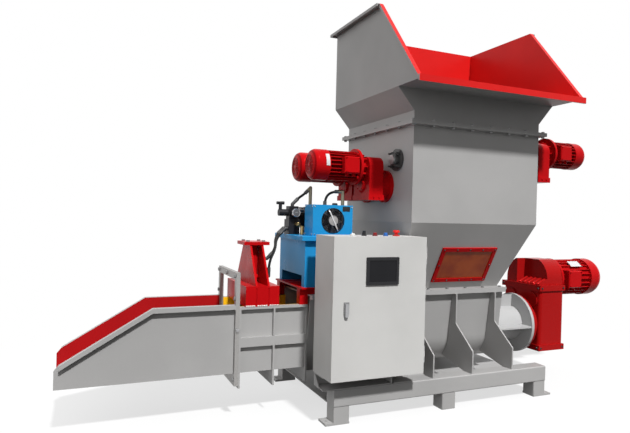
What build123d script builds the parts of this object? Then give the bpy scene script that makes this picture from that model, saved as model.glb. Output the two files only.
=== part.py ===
from build123d import *
import math
import os

# Foam compactor: a crusher hopper feeds a screw, which packs the foam into a press channel.
# Millimetres. X runs along the screw, from the discharge chute to the main drive. Y is across, with
# the control cabinet at the front (-Y). Z is up from the floor. The origin is on the floor, in the
# middle of the four anchor holes of the base.

# Shared fits
cut_overrun = 20.0
running_clearance = 0.05

# Base frame
rail_size = 100.0
rail_length = 1590.0
rail_corner_radius = 8.0
base_width = 960.0
leg_height = 100.0
foot_plate_thickness = 12.0
foot_plate_reach = 50.0
tray_thickness = 6.0
anchor_hole_diameter = 18.0
anchor_edge = 25.0

# Screw trough
screw_axis_z = 402.0
trough_radius = 205.0
trough_sheet = 8.0
trough_top_half_width = 244.0
trough_left_x = -860.0
trough_right_x = 600.0
trough_flange_top = 701.0
trough_flange_thickness = 16.0
trough_flange_half_width = 282.0
end_plate_thickness = 12.0
cover_thickness = 8.0

# Side ribs of the trough
rib_thickness = 10.0
rib_first_x = -416.0
rib_pitch = 300.0
rib_count = 3
rib_end_inset = 90.0
rib_upper_reach = 82.0
rib_knee_z = 488.0
rib_shoulder_z = 343.0
rib_foot_inset = 8.0
rib_low_z = 250.0
rib_cabinet_gap = 8.0

# Screw
screw_tube_diameter = 120.0
screw_flight_radius = 192.0
screw_pitch = 280.0
flight_thickness = 12.0
flight_root_depth = 2.0
screw_end_gap = 20.0
flight_end_gap = 40.0
drive_shaft_diameter = 80.0
drive_shaft_end_x = 1200.0
seal_gap = 2.0

# Bearing drum between the trough and the main drive
drum_diameter = 250.0
drum_flange_diameter = 442.0
drum_flange_thickness = 22.0
drum_flange_face_x = 950.0
drum_web_thickness = 12.0
drum_web_edge = 8.0
drum_relief_diameter = 110.0
drum_bearing_length = 90.0

# Lower hopper
hopper_sheet = 6.0
hopper_middle_x = 216.0
hopper_bottom_length = 768.0
hopper_bottom_width = 408.0
hopper_flange_thickness = 16.0
hopper_flange_side = 18.0
hopper_flange_left = 62.0

# Crusher box
box_length = 1000.0
box_width = 880.0
box_bottom_z = 1159.0
box_top_z = 1770.0
box_flange_reach = 38.0
box_flange_thickness = 12.0

# Upper hopper
neck_top_z = 1843.0
flare_top_z = 1977.0
flare_side_reach = 118.0
lip_reach = 250.0
wall_top_z = 2542.0
wall_front_top_y = -223.0
rim_reach = 40.0
rim_thickness = 6.0
rim_edge = 18.0
slope_rim_reach = 22.0
lip_drop = 22.0
lip_rise = 16.0

# Window on the front slope of the lower hopper
window_width = 442.0
window_height = 266.0
window_border = 27.0
window_offset_x = 20.0
window_middle_share = 0.625
window_frame_thickness = 10.0
window_rebate = 8.0
window_pane_thickness = 5.0

# Crusher rotors
rotor_shaft_diameter = 60.0
rotor_claw_radius = 100.0
rotor_claw_thickness = 22.0
rotor_claw_width = 46.0
rotor_claw_count = 9
rotor_claw_step = 80.0
rotor_claw_root_share = 0.25
rotor_claw_turns = 2
lower_rotor_y = 120.0
lower_rotor_rise = 231.0
upper_rotor_y = -264.0
upper_rotor_rise = 395.0
rotor_wall_hole_diameter = 70.0
rotor_end_reach = 14.0

# Flanged bearing of a rotor
bearing_flange_diameter = 140.0
bearing_flange_thickness = 14.0
bearing_hub_diameter = 80.0
bearing_length = 36.0
bearing_stud_circle = 114.0
bearing_stud_diameter = 12.0
bearing_stud_length = 46.0
bearing_stud_count = 4
bearing_nut_width = 22.0
bearing_nut_height = 12.0

# Crusher gear case, measured outwards from the wall of the box
gear_disc_diameter = 212.0
gear_disc_thickness = 18.0
gear_neck_diameter = 170.0
gear_neck_length = 62.0
gear_case_thickness = 100.0
gear_case_half_width = 105.0
gear_case_drop = 90.0
gear_case_rise = 182.0
gear_case_crown_radius = 60.0
gear_case_band_height = 28.0
gear_case_band_reach = 6.0
gear_motor_rise = 116.0
gear_cap_diameter = 60.0
gear_cap_length = 12.0
gear_shaft_depth = 140.0

# Crusher motor
motor_adapter_length = 46.0
motor_adapter_diameter = 120.0
adapter_rib_height = 24.0
adapter_rib_thickness = 8.0
adapter_rib_count = 10
motor_flange_diameter = 232.0
motor_flange_thickness = 18.0
motor_body_length = 200.0
motor_body_diameter = 164.0
motor_fin_height = 14.0
motor_cover_length = 106.0
motor_cover_diameter = 196.0
motor_cover_round = 36.0
motor_box_size = 104.0
motor_box_depth = 52.0
terminal_lid_chamfer_share = 0.125
motor_fin_thickness = 4.0
motor_fin_count = 24

# Main gear case
main_case_left_x = 1030.0
main_case_thickness = 240.0
main_case_half_width = 188.0
main_case_bottom_z = 213.0
main_shoulder_z = 690.0
main_band_height = 42.0
main_band_reach = 12.0
main_input_rise = 336.0
main_dome_radius = 168.0
main_dome_length = 150.0
main_disc_diameter = 430.0
main_disc_thickness = 25.0
main_neck_diameter = 340.0
main_case_corner = 24.0
main_boss_diameter = 120.0
main_boss_height = 10.0
main_dome_flat = 18.0
main_cheek_y = 62.0
main_cheek_setback = 10.0
main_rib_count = 8
main_rib_thickness = 10.0
main_rib_height = 9.0

# Main motor
main_flange_diameter = 300.0
main_flange_thickness = 20.0
main_adapter_length = 24.0
main_adapter_diameter = 220.0
main_body_length = 300.0
main_body_diameter = 244.0
main_fin_height = 18.0
main_cover_length = 132.0
main_cover_diameter = 292.0
main_cover_round = 60.0
main_box_size = 132.0
main_box_depth = 60.0

# Press channel
channel_left_x = -1284.0
channel_half_width = 185.0
channel_wall = 10.0
channel_outer_half_width = 217.0
channel_floor_z = 277.0
channel_floor_thickness = 12.0
channel_top_z = 648.0
channel_flange_thickness = 14.0
channel_rib_thickness = 10.0
channel_rib_bottom_z = 180.0
channel_rib_shares = (0.0, 0.5, 1.0)
channel_tube_low_z = 416.0
channel_tube_high_z = 470.0
liner_thickness = 6.0
liner_height = 230.0

# Portal frame and discharge chute
portal_thickness = 24.0
portal_post_width = 36.0
portal_bottom_z = 195.0
portal_top_z = 848.0
portal_bar_height = 40.0
chute_tip_x = -2247.0
chute_knee_x = -1765.0
chute_top_z = 662.0
chute_tip_z = 376.0
chute_bottom_z = 262.0
chute_sheet = 6.0
chute_flange_thickness = 6.0
chute_flange_drop = 26.0
chute_tip_margin = 24.0
chute_tip_round = 15.0

# Press tower
tower_middle_x = -1148.0
tower_base_length = 204.0
tower_base_height = 118.0
tower_plate = 12.0
tower_rib_spacing = 74.0
tower_rib_thickness = 12.0
tower_groove_width = 6.0
tower_groove_depth = 4.0
tower_top_size = 160.0
tower_top_z = 1018.0
tower_top_thickness = 20.0
tower_rib_top_half = 74.0
press_barrel_diameter = 60.0
press_rod_diameter = 36.0
press_rod_hole_gap = 4.0
press_plate_thickness = 26.0
press_plate_top_z = 616.0
press_plate_gap = 8.0
press_rod_margin = 16.0
port_diameter = 26.0
port_reach = 24.0
port_low_rise = 36.0
port_high_drop = 90.0
port_hole_gap = 2.0

# Hydraulic unit
stand_left_x = -912.0
stand_right_x = -430.0
stand_half_width = 240.0
stand_top_z = 752.0
stand_plate = 10.0
stand_leg = 52.0
stand_leg_thickness = 8.0
stand_apron_setback = 30.0
tank_left_x = -890.0
tank_length = 440.0
tank_half_width = 222.0
tank_floor_z = 820.0
tank_top_z = 1035.0
tank_skirt = 46.0
lid_thickness = 28.0
lid_reach = 30.0
cooler_left_x = -850.0
cooler_length = 268.0
cooler_front_y = -235.0
cooler_depth = 130.0
cooler_height = 191.0
cooler_sheet = 3.0
cooler_core_depth = 56.0
cooler_core_fins = 12
cooler_fin_gap_share = 0.5
cooler_fin_depth = 8.0
fan_opening_diameter = 148.0
fan_diameter = 138.0
fan_hub_diameter = 48.0
fan_blade_count = 7
fan_blade_depth = 22.0
fan_blade_thickness = 3.0
fan_blade_pitch_degrees = 32.0
fan_setback = 14.0
fan_pin_diameter = 10.0
fan_pin_length = 44.0
guard_wire = 3.0
guard_ring_count = 4
guard_hub_diameter = 54.0
guard_spoke_count = 4
guard_hub_thickness = 8.0

# Valve stack on the lid
manifold_x = -880.0
manifold_y = 40.0
manifold_length = 74.0
manifold_width = 84.0
manifold_height = 96.0
valve_length = 62.0
valve_width = 60.0
valve_height = 84.0
coil_diameter = 44.0
coil_length = 62.0
knob_diameter = 22.0
knob_length = 34.0
gauge_diameter = 54.0
gauge_depth = 26.0
gauge_stem = 14.0
fitting_diameter = 22.0
elbow_sleeve = 14.0
elbow_arm = 27.0
port_elbow_x = -1050.0
port_offset_y = 20.0
press_outlet_z = 1100.0
press_outlet_low_y = 20.0
press_outlet_high_y = 62.0
valve_elbow_z = 1256.0
valve_pipe_x = -764.0
valve_pipe_y = 20.0
valve_pipe_top = 1366.0
cooler_fitting_x = -604.0
cooler_fitting_y = -133.0
cooler_elbow_z = 1342.0
cooler_pipe_x = -704.0
cooler_pipe_y = -80.0
cooler_pipe_top = 1254.0
pump_motor_y = 122.0
pump_motor_left_x = -770.0
pump_motor_diameter = 150.0
pump_motor_length = 190.0
pump_motor_fin_height = 8.0
pump_motor_fin_count = 20
pump_cover_length = 66.0
pump_cover_round = 22.0
pump_foot_height = 12.0
pump_foot_width = 150.0
pump_foot_inset_share = 0.17
pump_web_share = 0.25
pump_diameter = 96.0
pump_length = 56.0
pump_corner_share = 0.25

# Hoses, with the corners of each route between its two fittings
hose_diameter = 16.0
hose_bend_share = 0.45
press_hose_low_corners = [(-992.5, 20.0, 1038.5), (-1004.0, -8.0, 970.0), (-1050.0, -20.0, 889.0)]
press_hose_high_corners = [(-986.9, 62.0, 1044.1), (-994.1, 20.0, 963.9)]
valve_hose_corners = [(-835.5, 40.0, 1300.5), (-808.5, 20.0, 1321.5)]
cooler_hose_corners = [(-704.0, -80.0, 1300.0), (-668.5, -98.8, 1342.0)]

# Control cabinet
cabinet_left_x = -866.0
cabinet_width = 600.0
cabinet_front_y = -580.0
cabinet_depth = 250.0
cabinet_bottom_z = 277.0
cabinet_height = 800.0
cabinet_sheet = 3.0
door_depth = 18.0
door_gap = 1.0
door_lip = 24.0
hinge_pin_diameter = 8.0
hinge_knuckle_diameter = 16.0
hinge_knuckle_length = 32.0
hinge_leaf_length = 34.0
hinge_leaf_thickness = 3.0
hinge_inset = 110.0
knuckle_gap = 0.4
latch_x = -784.0
latch_z = 668.0
latch_plate_width = 32.0
latch_plate_height = 96.0
latch_plate_tip_share = 0.36
latch_plate_taper_share = 0.3
latch_plate_thickness = 5.0
latch_lever_width = 20.0
latch_lever_length = 74.0
latch_lever_thickness = 9.0
latch_lever_round_share = 0.33
latch_spindle_diameter = 14.0
latch_spindle_rise = 7.0
latch_pivot_rise = 30.0
panel_x = -560.0
panel_z = 884.0
panel_width = 210.0
panel_height = 157.0
panel_depth = 8.0
panel_bezel = 18.0
panel_corner_share = 0.33
panel_glass_inset = 3.0
bracket_plate = 6.0
bracket_back_y = -350.0
bracket_gusset = 76.0
bracket_right_inset = 20.0
plate_margin = 40.0
plate_thickness = 3.0
plate_standoff = 14.0
standoff_diameter = 14.0
gear_row_count = 3
gear_row_depth_shares = (0.34, 0.42, 0.26)
gear_row_height_shares = (0.22, 0.2, 0.12)
gear_row_unit_counts = (3, 5, 8)
gear_unit_gap = 6.0
device_y = -470.0
device_first_x = -697.0
device_pitch = 72.0
device_names = ("lamp", "selector", "stop", "start", "emergency")
device_collar_diameter = 30.0
device_collar_height = 8.0
device_head_diameter = 22.0
device_head_height = 14.0
device_head_lift = 6.0
device_round_share = 0.125
lamp_round_share = 0.25
stop_collar_diameter = 42.0
stop_head_diameter = 40.0
stop_head_height = 13.0
stop_stem_rise = 22.0
selector_bar_width = 9.0
selector_bar_height = 10.0

# Bolts of the flanges
bolt_width = 19.0
bolt_height = 9.0
nut_height = 10.0
hopper_bolt_pitch = 150.0
trough_bolt_pitch = 150.0
trough_bolt_edge = 24.0
tower_bolt_edge = 30.0

# Places that follow from the sizes above
rail_y = (base_width - rail_size) / 2
rail_top_z = leg_height + rail_size
rail_mid_z = leg_height + rail_size / 2
anchor_x = rail_length / 2 + foot_plate_reach - anchor_edge
trough_outer_radius = trough_radius + trough_sheet
lower_rotor_z = box_bottom_z + lower_rotor_rise
upper_rotor_z = box_bottom_z + upper_rotor_rise
trough_end_x = trough_right_x + end_plate_thickness
cover_top_z = trough_flange_top + cover_thickness
hopper_bottom_z = trough_flange_top + hopper_flange_thickness
box_left_x = hopper_middle_x - box_length / 2
box_right_x = hopper_middle_x + box_length / 2
box_front_y = -box_width / 2
box_back_y = box_width / 2
hopper_left_x = hopper_middle_x - hopper_bottom_length / 2
hopper_right_x = hopper_middle_x + hopper_bottom_length / 2
wall_left_x = box_left_x - flare_side_reach
wall_right_x = box_right_x + flare_side_reach
lip_y = box_front_y - lip_reach
main_case_right_x = main_case_left_x + main_case_thickness
main_motor_z = screw_axis_z + main_input_rise
channel_right_x = trough_left_x
channel_wall_half_width = channel_half_width + channel_wall
portal_right_x = channel_left_x
portal_left_x = portal_right_x - portal_thickness
tower_base_top_z = channel_top_z + tower_base_height
tower_rib_top_z = tower_top_z - tower_top_thickness
press_barrel_top_z = tower_rib_top_z
press_plate_bottom_z = press_plate_top_z - press_plate_thickness
port_low_z = tower_base_top_z + port_low_rise
port_high_z = press_barrel_top_z - port_high_drop
port_end_x = tower_middle_x + tower_rib_spacing / 2 + tower_rib_thickness / 2 + port_reach
tank_right_x = tank_left_x + tank_length
lid_top_z = tank_top_z + lid_thickness
cooler_right_x = cooler_left_x + cooler_length
cooler_back_y = cooler_front_y + cooler_depth
cooler_top_z = lid_top_z + cooler_height
fan_x = (cooler_left_x + cooler_right_x) / 2
fan_z = lid_top_z + cooler_height / 2
cabinet_right_x = cabinet_left_x + cabinet_width
cabinet_back_y = cabinet_front_y + cabinet_depth
cabinet_top_z = cabinet_bottom_z + cabinet_height
door_back_y = cabinet_front_y + door_depth
body_front_y = door_back_y + door_gap
hinge_x = cabinet_right_x + hinge_knuckle_diameter / 2
hinge_y = door_back_y


# Basic shapes, placed by their limits

def block(x_low, x_high, y_low, y_high, z_low, z_high):
    middle = Pos((x_low + x_high) / 2, (y_low + y_high) / 2, (z_low + z_high) / 2)
    return middle * Box(x_high - x_low, y_high - y_low, z_high - z_low)


def standing(diameter, length):
    return Cylinder(diameter / 2, length, align=(Align.CENTER, Align.CENTER, Align.MIN))


def bar_x(x_low, x_high, y, z, diameter):
    return Pos(x_low, y, z) * Rot(0, 90, 0) * standing(diameter, x_high - x_low)


def bar_y(x, y_low, y_high, z, diameter):
    return Pos(x, y_low, z) * Rot(-90, 0, 0) * standing(diameter, y_high - y_low)


def bar_z(x, y, z_low, z_high, diameter):
    return Pos(x, y, z_low) * standing(diameter, z_high - z_low)


# A flat plate whose outline is given in Y and Z, with its thickness along X
def plate_x(outline, x_low, thickness):
    sketch = Plane.YZ * Polygon(*outline, align=None)
    return Pos(x_low, 0, 0) * extrude(sketch, thickness, dir=(1, 0, 0))


# A flat plate whose outline is given in X and Z, with its thickness along Y
def plate_y(outline, y_low, thickness):
    sketch = Plane.XZ * Polygon(*outline, align=None)
    return Pos(0, y_low, 0) * extrude(sketch, thickness, dir=(0, 1, 0))


def hex_z(x, y, z_low, height, width):
    return Pos(x, y, z_low) * extrude(RegularPolygon(width / 2, 6, major_radius=False), height)


# A round bar between two points
def bar_between(start, end, diameter):
    run = Vector(*end) - Vector(*start)
    return extrude(Plane(origin=Vector(*start), z_dir=run) * Circle(diameter / 2), run.length)


def evenly(low, high, pitch):
    count = max(int(round((high - low) / pitch)), 1)
    return [low + (high - low) * index / count for index in range(count + 1)]


def write(node, *pieces):
    solids = [solid for piece in pieces for solid in piece.solids()]
    shape = solids[0] if len(solids) == 1 else Compound(solids)
    export_step(shape, f"parts/{node}.step")


# Base frame

def rail(side):
    section = RectangleRounded(rail_size, rail_size, rail_corner_radius)
    section = Plane.YZ * Pos(side * rail_y, rail_mid_z) * section
    return Pos(-rail_length / 2, 0, 0) * extrude(section, rail_length, dir=(1, 0, 0))


def leg(end, side):
    x = end * (rail_length - rail_size) / 2
    y = side * rail_y
    section = Pos(x, y) * RectangleRounded(rail_size, rail_size, rail_corner_radius)
    if end == 0:
        return extrude(section, leg_height)
    column = Pos(0, 0, foot_plate_thickness) * extrude(section, leg_height - foot_plate_thickness)
    ends = sorted((end * (rail_length / 2 + foot_plate_reach), end * (rail_length / 2 - rail_size)))
    plate = block(*ends, y - rail_size / 2, y + rail_size / 2, 0, foot_plate_thickness)
    hole = bar_z(end * anchor_x, y, -cut_overrun, foot_plate_thickness + cut_overrun, anchor_hole_diameter)
    return column + plate - hole


# Drip tray between the rails
def drip_tray():
    half = rail_y - rail_size / 2
    return block(-rail_length / 2, rail_length / 2, -half, half, leg_height, leg_height + tray_thickness)


# Screw trough, its ribs, cover and bearing drum

# Round at the bottom, with flat sides that lean outwards up to the flange
def trough_outline(outset, top_z):
    radius = trough_radius + outset
    half = trough_top_half_width + outset
    rise = trough_flange_top - screw_axis_z
    turn = math.atan2(rise, half) - math.acos(radius / math.hypot(half, rise))
    foot_y = radius * math.cos(turn)
    foot_z = radius * math.sin(turn)
    top = top_z - screw_axis_z
    top_y = foot_y + (half - foot_y) * (top - foot_z) / (rise - foot_z)
    sides = Polygon((-foot_y, foot_z), (foot_y, foot_z), (top_y, top), (-top_y, top), align=None)
    return Plane.YZ * (Pos(0, screw_axis_z) * (Circle(radius) + sides))


def screw_trough():
    length = trough_end_x - trough_left_x
    outside = extrude(trough_outline(trough_sheet, trough_flange_top), length, dir=(1, 0, 0))
    flange_low = trough_flange_top - trough_flange_thickness
    half = trough_flange_half_width
    flange = block(trough_left_x, trough_end_x, -half, half, flange_low, trough_flange_top)
    inside_length = trough_right_x - trough_left_x + cut_overrun
    inside = extrude(trough_outline(0, trough_flange_top + cut_overrun), inside_length, dir=(1, 0, 0))
    shaft_hole = bar_x(trough_right_x - cut_overrun, trough_end_x + cut_overrun, 0, screw_axis_z,
                       drive_shaft_diameter + 2 * seal_gap)
    shell = Pos(trough_left_x, 0, 0) * outside + flange
    return shell - Pos(trough_left_x - cut_overrun, 0, 0) * inside - shaft_hole


def rib_places():
    places = [rib_first_x + index * rib_pitch for index in range(rib_count)]
    return places + [trough_right_x - rib_end_inset]


# The ribs behind the cabinet have a low foot in place of the slope
def side_rib(x, side):
    behind_cabinet = side < 0 and cabinet_left_x < x < cabinet_right_x
    inner = math.sqrt(trough_outer_radius ** 2 - (screw_axis_z - rib_low_z) ** 2)
    upper = trough_outer_radius + rib_upper_reach
    foot = base_width / 2 - rib_foot_inset
    top_z = trough_flange_top - trough_flange_thickness
    if behind_cabinet:
        foot_z = cabinet_bottom_z - rib_cabinet_gap
        slope = [(upper, foot_z), (foot, foot_z)]
    else:
        slope = [(upper, rib_knee_z), (foot, rib_shoulder_z)]
    outline = [(0, top_z), (upper, top_z), *slope, (foot, rail_top_z),
               (rail_y - rail_size / 2, rail_top_z), (inner, rib_low_z), (0, rib_low_z)]
    plate = plate_x([(side * y, z) for y, z in outline], x - rib_thickness / 2, rib_thickness)
    trough = extrude(trough_outline(trough_sheet, top_z + cut_overrun), rib_thickness + 2 * cut_overrun,
                     dir=(1, 0, 0))
    return plate - Pos(x - rib_thickness / 2 - cut_overrun, 0, 0) * trough


def trough_cover():
    half = trough_flange_half_width
    right = hopper_left_x - hopper_flange_left
    return block(trough_left_x, right, -half, half, trough_flange_top, cover_top_z)


def bearing_drum():
    flange_back_x = drum_flange_face_x - drum_flange_thickness
    drum = bar_x(trough_end_x, drum_flange_face_x, 0, screw_axis_z, drum_diameter)
    flange = bar_x(flange_back_x, drum_flange_face_x, 0, screw_axis_z, drum_flange_diameter)
    reach = drum_flange_diameter / 2 - drum_web_edge
    half = drum_web_thickness / 2
    level = block(trough_end_x, flange_back_x, -reach, reach, screw_axis_z - half, screw_axis_z + half)
    upright = block(trough_end_x, flange_back_x, -half, half, screw_axis_z - reach, screw_axis_z + reach)
    bearing_x = drum_flange_face_x - drum_bearing_length
    relief = bar_x(trough_end_x - cut_overrun, bearing_x, 0, screw_axis_z, drum_relief_diameter)
    bore = bar_x(bearing_x - cut_overrun, drum_flange_face_x + cut_overrun, 0, screw_axis_z,
                 drive_shaft_diameter + 2 * running_clearance)
    return drum + flange + level + upright - relief - bore


def auger():
    tube_left = trough_left_x + screw_end_gap
    tube_right = trough_right_x - screw_end_gap
    tube = bar_x(tube_left, tube_right, 0, screw_axis_z, screw_tube_diameter)
    shaft = bar_x(tube_right - cut_overrun, drive_shaft_end_x, 0, screw_axis_z, drive_shaft_diameter)
    root = screw_tube_diameter / 2 - flight_root_depth
    length = tube_right - tube_left - 2 * flight_end_gap
    path = Helix(screw_pitch, length, root)
    width = screw_flight_radius - root
    section = Plane(origin=path @ 0, x_dir=(1, 0, 0), z_dir=path % 0) * Pos(width / 2, 0)
    flight = sweep(section * Rectangle(width, flight_thickness), path, is_frenet=True)
    flight = Pos(tube_left + flight_end_gap, 0, screw_axis_z) * Rot(0, 90, 0) * flight
    return tube + shaft + flight


# Lower hopper with its window

# The hopper's clear or outer form, drawn past both ends so that one can cut the other
def hopper_form(shrink, overrun):
    rise = box_bottom_z - hopper_bottom_z

    def level(z):
        share = (z - hopper_bottom_z) / rise
        length = hopper_bottom_length + (box_length - hopper_bottom_length) * share - 2 * shrink
        width = hopper_bottom_width + (box_width - hopper_bottom_width) * share - 2 * shrink
        return Pos(hopper_middle_x, 0, z) * Rectangle(length, width)

    return loft([level(hopper_bottom_z - overrun), level(box_bottom_z + overrun)])


# Plane of the front slope: its X runs along the machine, its Y up the slope and its Z outwards
def window_plane():
    drop = Vector(0, (box_width - hopper_bottom_width) / 2, hopper_bottom_z - box_bottom_z)
    outwards = Vector(0, drop.Z, -drop.Y)
    corner = Vector(hopper_middle_x + window_offset_x, box_front_y, box_bottom_z)
    return Plane(origin=corner + drop * window_middle_share, x_dir=(1, 0, 0), z_dir=outwards)


def window_opening():
    return Rectangle(window_width - 2 * window_border, window_height - 2 * window_border)


def lower_hopper():
    half = trough_flange_half_width
    flange = block(hopper_left_x - hopper_flange_left, hopper_right_x + hopper_flange_side, -half, half,
                   trough_flange_top, hopper_bottom_z)
    shell = hopper_form(0, 0) + flange - hopper_form(hopper_sheet, cut_overrun)
    opening = extrude(window_plane() * window_opening(), cut_overrun, both=True)
    return shell - opening


def window_frame():
    plane = window_plane()
    frame = extrude(plane * Rectangle(window_width, window_height), window_frame_thickness)
    frame -= extrude(plane * window_opening(), cut_overrun, both=True)
    pane_size = Rectangle(window_width - 2 * window_border + 2 * window_rebate,
                          window_height - 2 * window_border + 2 * window_rebate)
    return frame - extrude(plane * pane_size, window_pane_thickness)


def window_pane():
    pane_size = Rectangle(window_width - 2 * window_border + 2 * window_rebate,
                          window_height - 2 * window_border + 2 * window_rebate)
    return extrude(window_plane() * pane_size, window_pane_thickness)


# Crusher box and upper hopper

def rotor_axes():
    return [(-lower_rotor_y, lower_rotor_z), (lower_rotor_y, lower_rotor_z), (upper_rotor_y, upper_rotor_z)]


def crusher_box():
    walls = block(box_left_x, box_right_x, box_front_y, box_back_y, box_bottom_z, box_top_z)
    flange_low = box_top_z - box_flange_thickness
    flange = block(box_left_x - box_flange_reach, box_right_x + box_flange_reach,
                   box_front_y - box_flange_reach, box_back_y + box_flange_reach, flange_low, box_top_z)
    inside = block(box_left_x + hopper_sheet, box_right_x - hopper_sheet, box_front_y + hopper_sheet,
                   box_back_y - hopper_sheet, box_bottom_z - cut_overrun, box_top_z + cut_overrun)
    box = walls + flange - inside
    for y, z in rotor_axes():
        box -= bar_x(box_left_x - cut_overrun, box_right_x + cut_overrun, y, z, rotor_wall_hole_diameter)
    return box


# Flare from the neck to the side walls, moved inwards and up by the sheet for its inner face
def flare_form(shrink):
    low = Rectangle(box_length - 2 * shrink, box_width - 2 * shrink)
    high = Rectangle(box_length + 2 * flare_side_reach - 2 * shrink, box_width - 2 * shrink)
    low_place = Pos(hopper_middle_x, 0, neck_top_z + shrink)
    high_place = Pos(hopper_middle_x, 0, flare_top_z + shrink)
    return loft([low_place * low, high_place * high])


# Strip along the front slope of a side wall, as deep as stated
def slope_strip(depth):
    slope = Vector(lip_y - wall_front_top_y, flare_top_z - wall_top_z).normalized()
    shift = Vector(-slope.Y, slope.X) * depth
    return [(wall_front_top_y, wall_top_z), (lip_y, flare_top_z), (lip_y + shift.X, flare_top_z + shift.Y),
            (wall_front_top_y + shift.X, wall_top_z + shift.Y)]


# The rim is turned outwards and has a folded edge, wide along the top and narrow down the front slopes
def rim_flange():
    left = wall_left_x - rim_reach
    right = wall_right_x + rim_reach
    front = wall_front_top_y
    back = box_back_y + rim_reach
    edge_z = wall_top_z - rim_edge
    rim = block(left, right, front, back, wall_top_z - rim_thickness, wall_top_z)
    rim += block(left, left + rim_thickness, front, back, edge_z, wall_top_z)
    rim += block(right - rim_thickness, right, front, back, edge_z, wall_top_z)
    rim += block(left, right, back - rim_thickness, back, edge_z, wall_top_z)
    slope_left = wall_left_x - slope_rim_reach
    slope_right = wall_right_x + slope_rim_reach
    for x in (slope_left, wall_right_x):
        rim += plate_x(slope_strip(rim_thickness), x, slope_rim_reach)
    for x in (slope_left, slope_right - rim_thickness):
        rim += plate_x(slope_strip(rim_edge), x, rim_thickness)
    return rim


def front_lip():
    return block(wall_left_x - slope_rim_reach, wall_right_x + slope_rim_reach, lip_y - rim_thickness,
                 lip_y + rim_thickness, flare_top_z - lip_drop, flare_top_z + lip_rise)


def upper_hopper():
    neck = block(box_left_x, box_right_x, box_front_y, box_back_y, box_top_z, neck_top_z)
    flange = block(box_left_x - box_flange_reach, box_right_x + box_flange_reach,
                   box_front_y - box_flange_reach, box_back_y + box_flange_reach, box_top_z,
                   box_top_z + box_flange_thickness)
    side = [(box_back_y, flare_top_z), (box_back_y, wall_top_z), (wall_front_top_y, wall_top_z),
            (lip_y, flare_top_z)]
    walls = plate_x(side, wall_left_x, wall_right_x - wall_left_x)
    outside = neck + flange + flare_form(0) + walls + rim_flange()
    neck_inside = block(box_left_x + hopper_sheet, box_right_x - hopper_sheet, box_front_y + hopper_sheet,
                        box_back_y - hopper_sheet, box_top_z - cut_overrun, neck_top_z + hopper_sheet)
    mouth = block(wall_left_x + hopper_sheet, wall_right_x - hopper_sheet, lip_y - rim_reach,
                  box_back_y - hopper_sheet, flare_top_z + hopper_sheet, wall_top_z + cut_overrun)
    return outside - neck_inside - flare_form(hopper_sheet) - mouth + front_lip()


# Crusher rotors and their bearings

def rotor(y, z, x_low, x_high, first_turn):
    body = bar_x(x_low, x_high, y, z, rotor_shaft_diameter)
    root = rotor_shaft_diameter * rotor_claw_root_share
    half = rotor_claw_width / 2
    hook = [(-half, 0), (half, 0), (half, rotor_claw_radius - half), (0, rotor_claw_radius),
            (-half, rotor_claw_radius - half / 2), (-root, rotor_claw_radius / 2), (-half, root)]
    first_x = hopper_middle_x - rotor_claw_step * (rotor_claw_count - 1) / 2
    for index in range(rotor_claw_count):
        turn = first_turn + 360 * rotor_claw_turns * index / rotor_claw_count
        claw = plate_x(hook, -rotor_claw_thickness / 2, rotor_claw_thickness)
        body += Pos(first_x + index * rotor_claw_step, y, z) * Rot(turn, 0, 0) * claw
    return body


# A bearing in its own frame: the wall is at zero, the hub stands out along +X
def shaft_bearing():
    unit = bar_x(0, bearing_flange_thickness, 0, 0, bearing_flange_diameter)
    unit += bar_x(0, bearing_length, 0, 0, bearing_hub_diameter)
    for index in range(bearing_stud_count):
        stud = bar_x(0, bearing_stud_length, 0, bearing_stud_circle / 2, bearing_stud_diameter)
        nut = Rot(0, 90, 0) * hex_z(-bearing_stud_circle / 2, 0, 0, bearing_nut_height, bearing_nut_width)
        turn = 360 * (2 * index + 1) / (2 * bearing_stud_count)
        unit += Rot(turn, 0, 0) * (stud + Pos(bearing_flange_thickness, 0, 0) * nut)
    bore = rotor_shaft_diameter + 2 * running_clearance
    return unit - bar_x(-cut_overrun, bearing_length + cut_overrun, 0, 0, bore)


# Crusher gear units, drawn with the wall of the box at zero and the drive standing out along +X

def on_left_wall(shape, y, z):
    return Pos(box_left_x, y, z) * mirror(shape, Plane.YZ)


def on_right_wall(shape, y, z):
    return Pos(box_right_x, y, z) * shape


def gear_case():
    case_low = gear_disc_thickness + gear_neck_length
    case_high = case_low + gear_case_thickness
    case = block(case_low, case_high, -gear_case_half_width, gear_case_half_width, -gear_case_drop,
                 gear_case_rise)
    crown = case.edges().filter_by(Axis.X).group_by(Axis.Z)[-1]
    case = fillet(crown, gear_case_crown_radius)
    band = gear_case_band_reach
    case += block(case_low - band, case_high + band, -gear_case_half_width - band,
                  gear_case_half_width + band, -gear_case_drop - band,
                  gear_case_band_height - gear_case_drop)
    case += bar_x(0, gear_disc_thickness, 0, 0, gear_disc_diameter)
    case += bar_x(0, case_low, 0, 0, gear_neck_diameter)
    case += bar_x(case_high, case_high + gear_cap_length, 0, 0, gear_cap_diameter)
    bore = rotor_shaft_diameter + 2 * running_clearance
    return case - bar_x(-cut_overrun, gear_shaft_depth + rotor_end_reach, 0, 0, bore)


def finned_section(diameter, fin_height, fin_thickness, fin_count):
    section = Circle(diameter / 2)
    reach = diameter / 2 + fin_height
    for index in range(fin_count):
        section += Rot(0, 0, 360 * index / fin_count) * Pos(reach / 2, 0) * Rectangle(reach, fin_thickness)
    return section


# Fan cover with a rounded end, standing out along +X from zero
def fan_cover(length, diameter, round_radius):
    cover = bar_x(0, length, 0, 0, diameter)
    return fillet(cover.edges().sort_by(Axis.X)[-1], round_radius)


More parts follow.
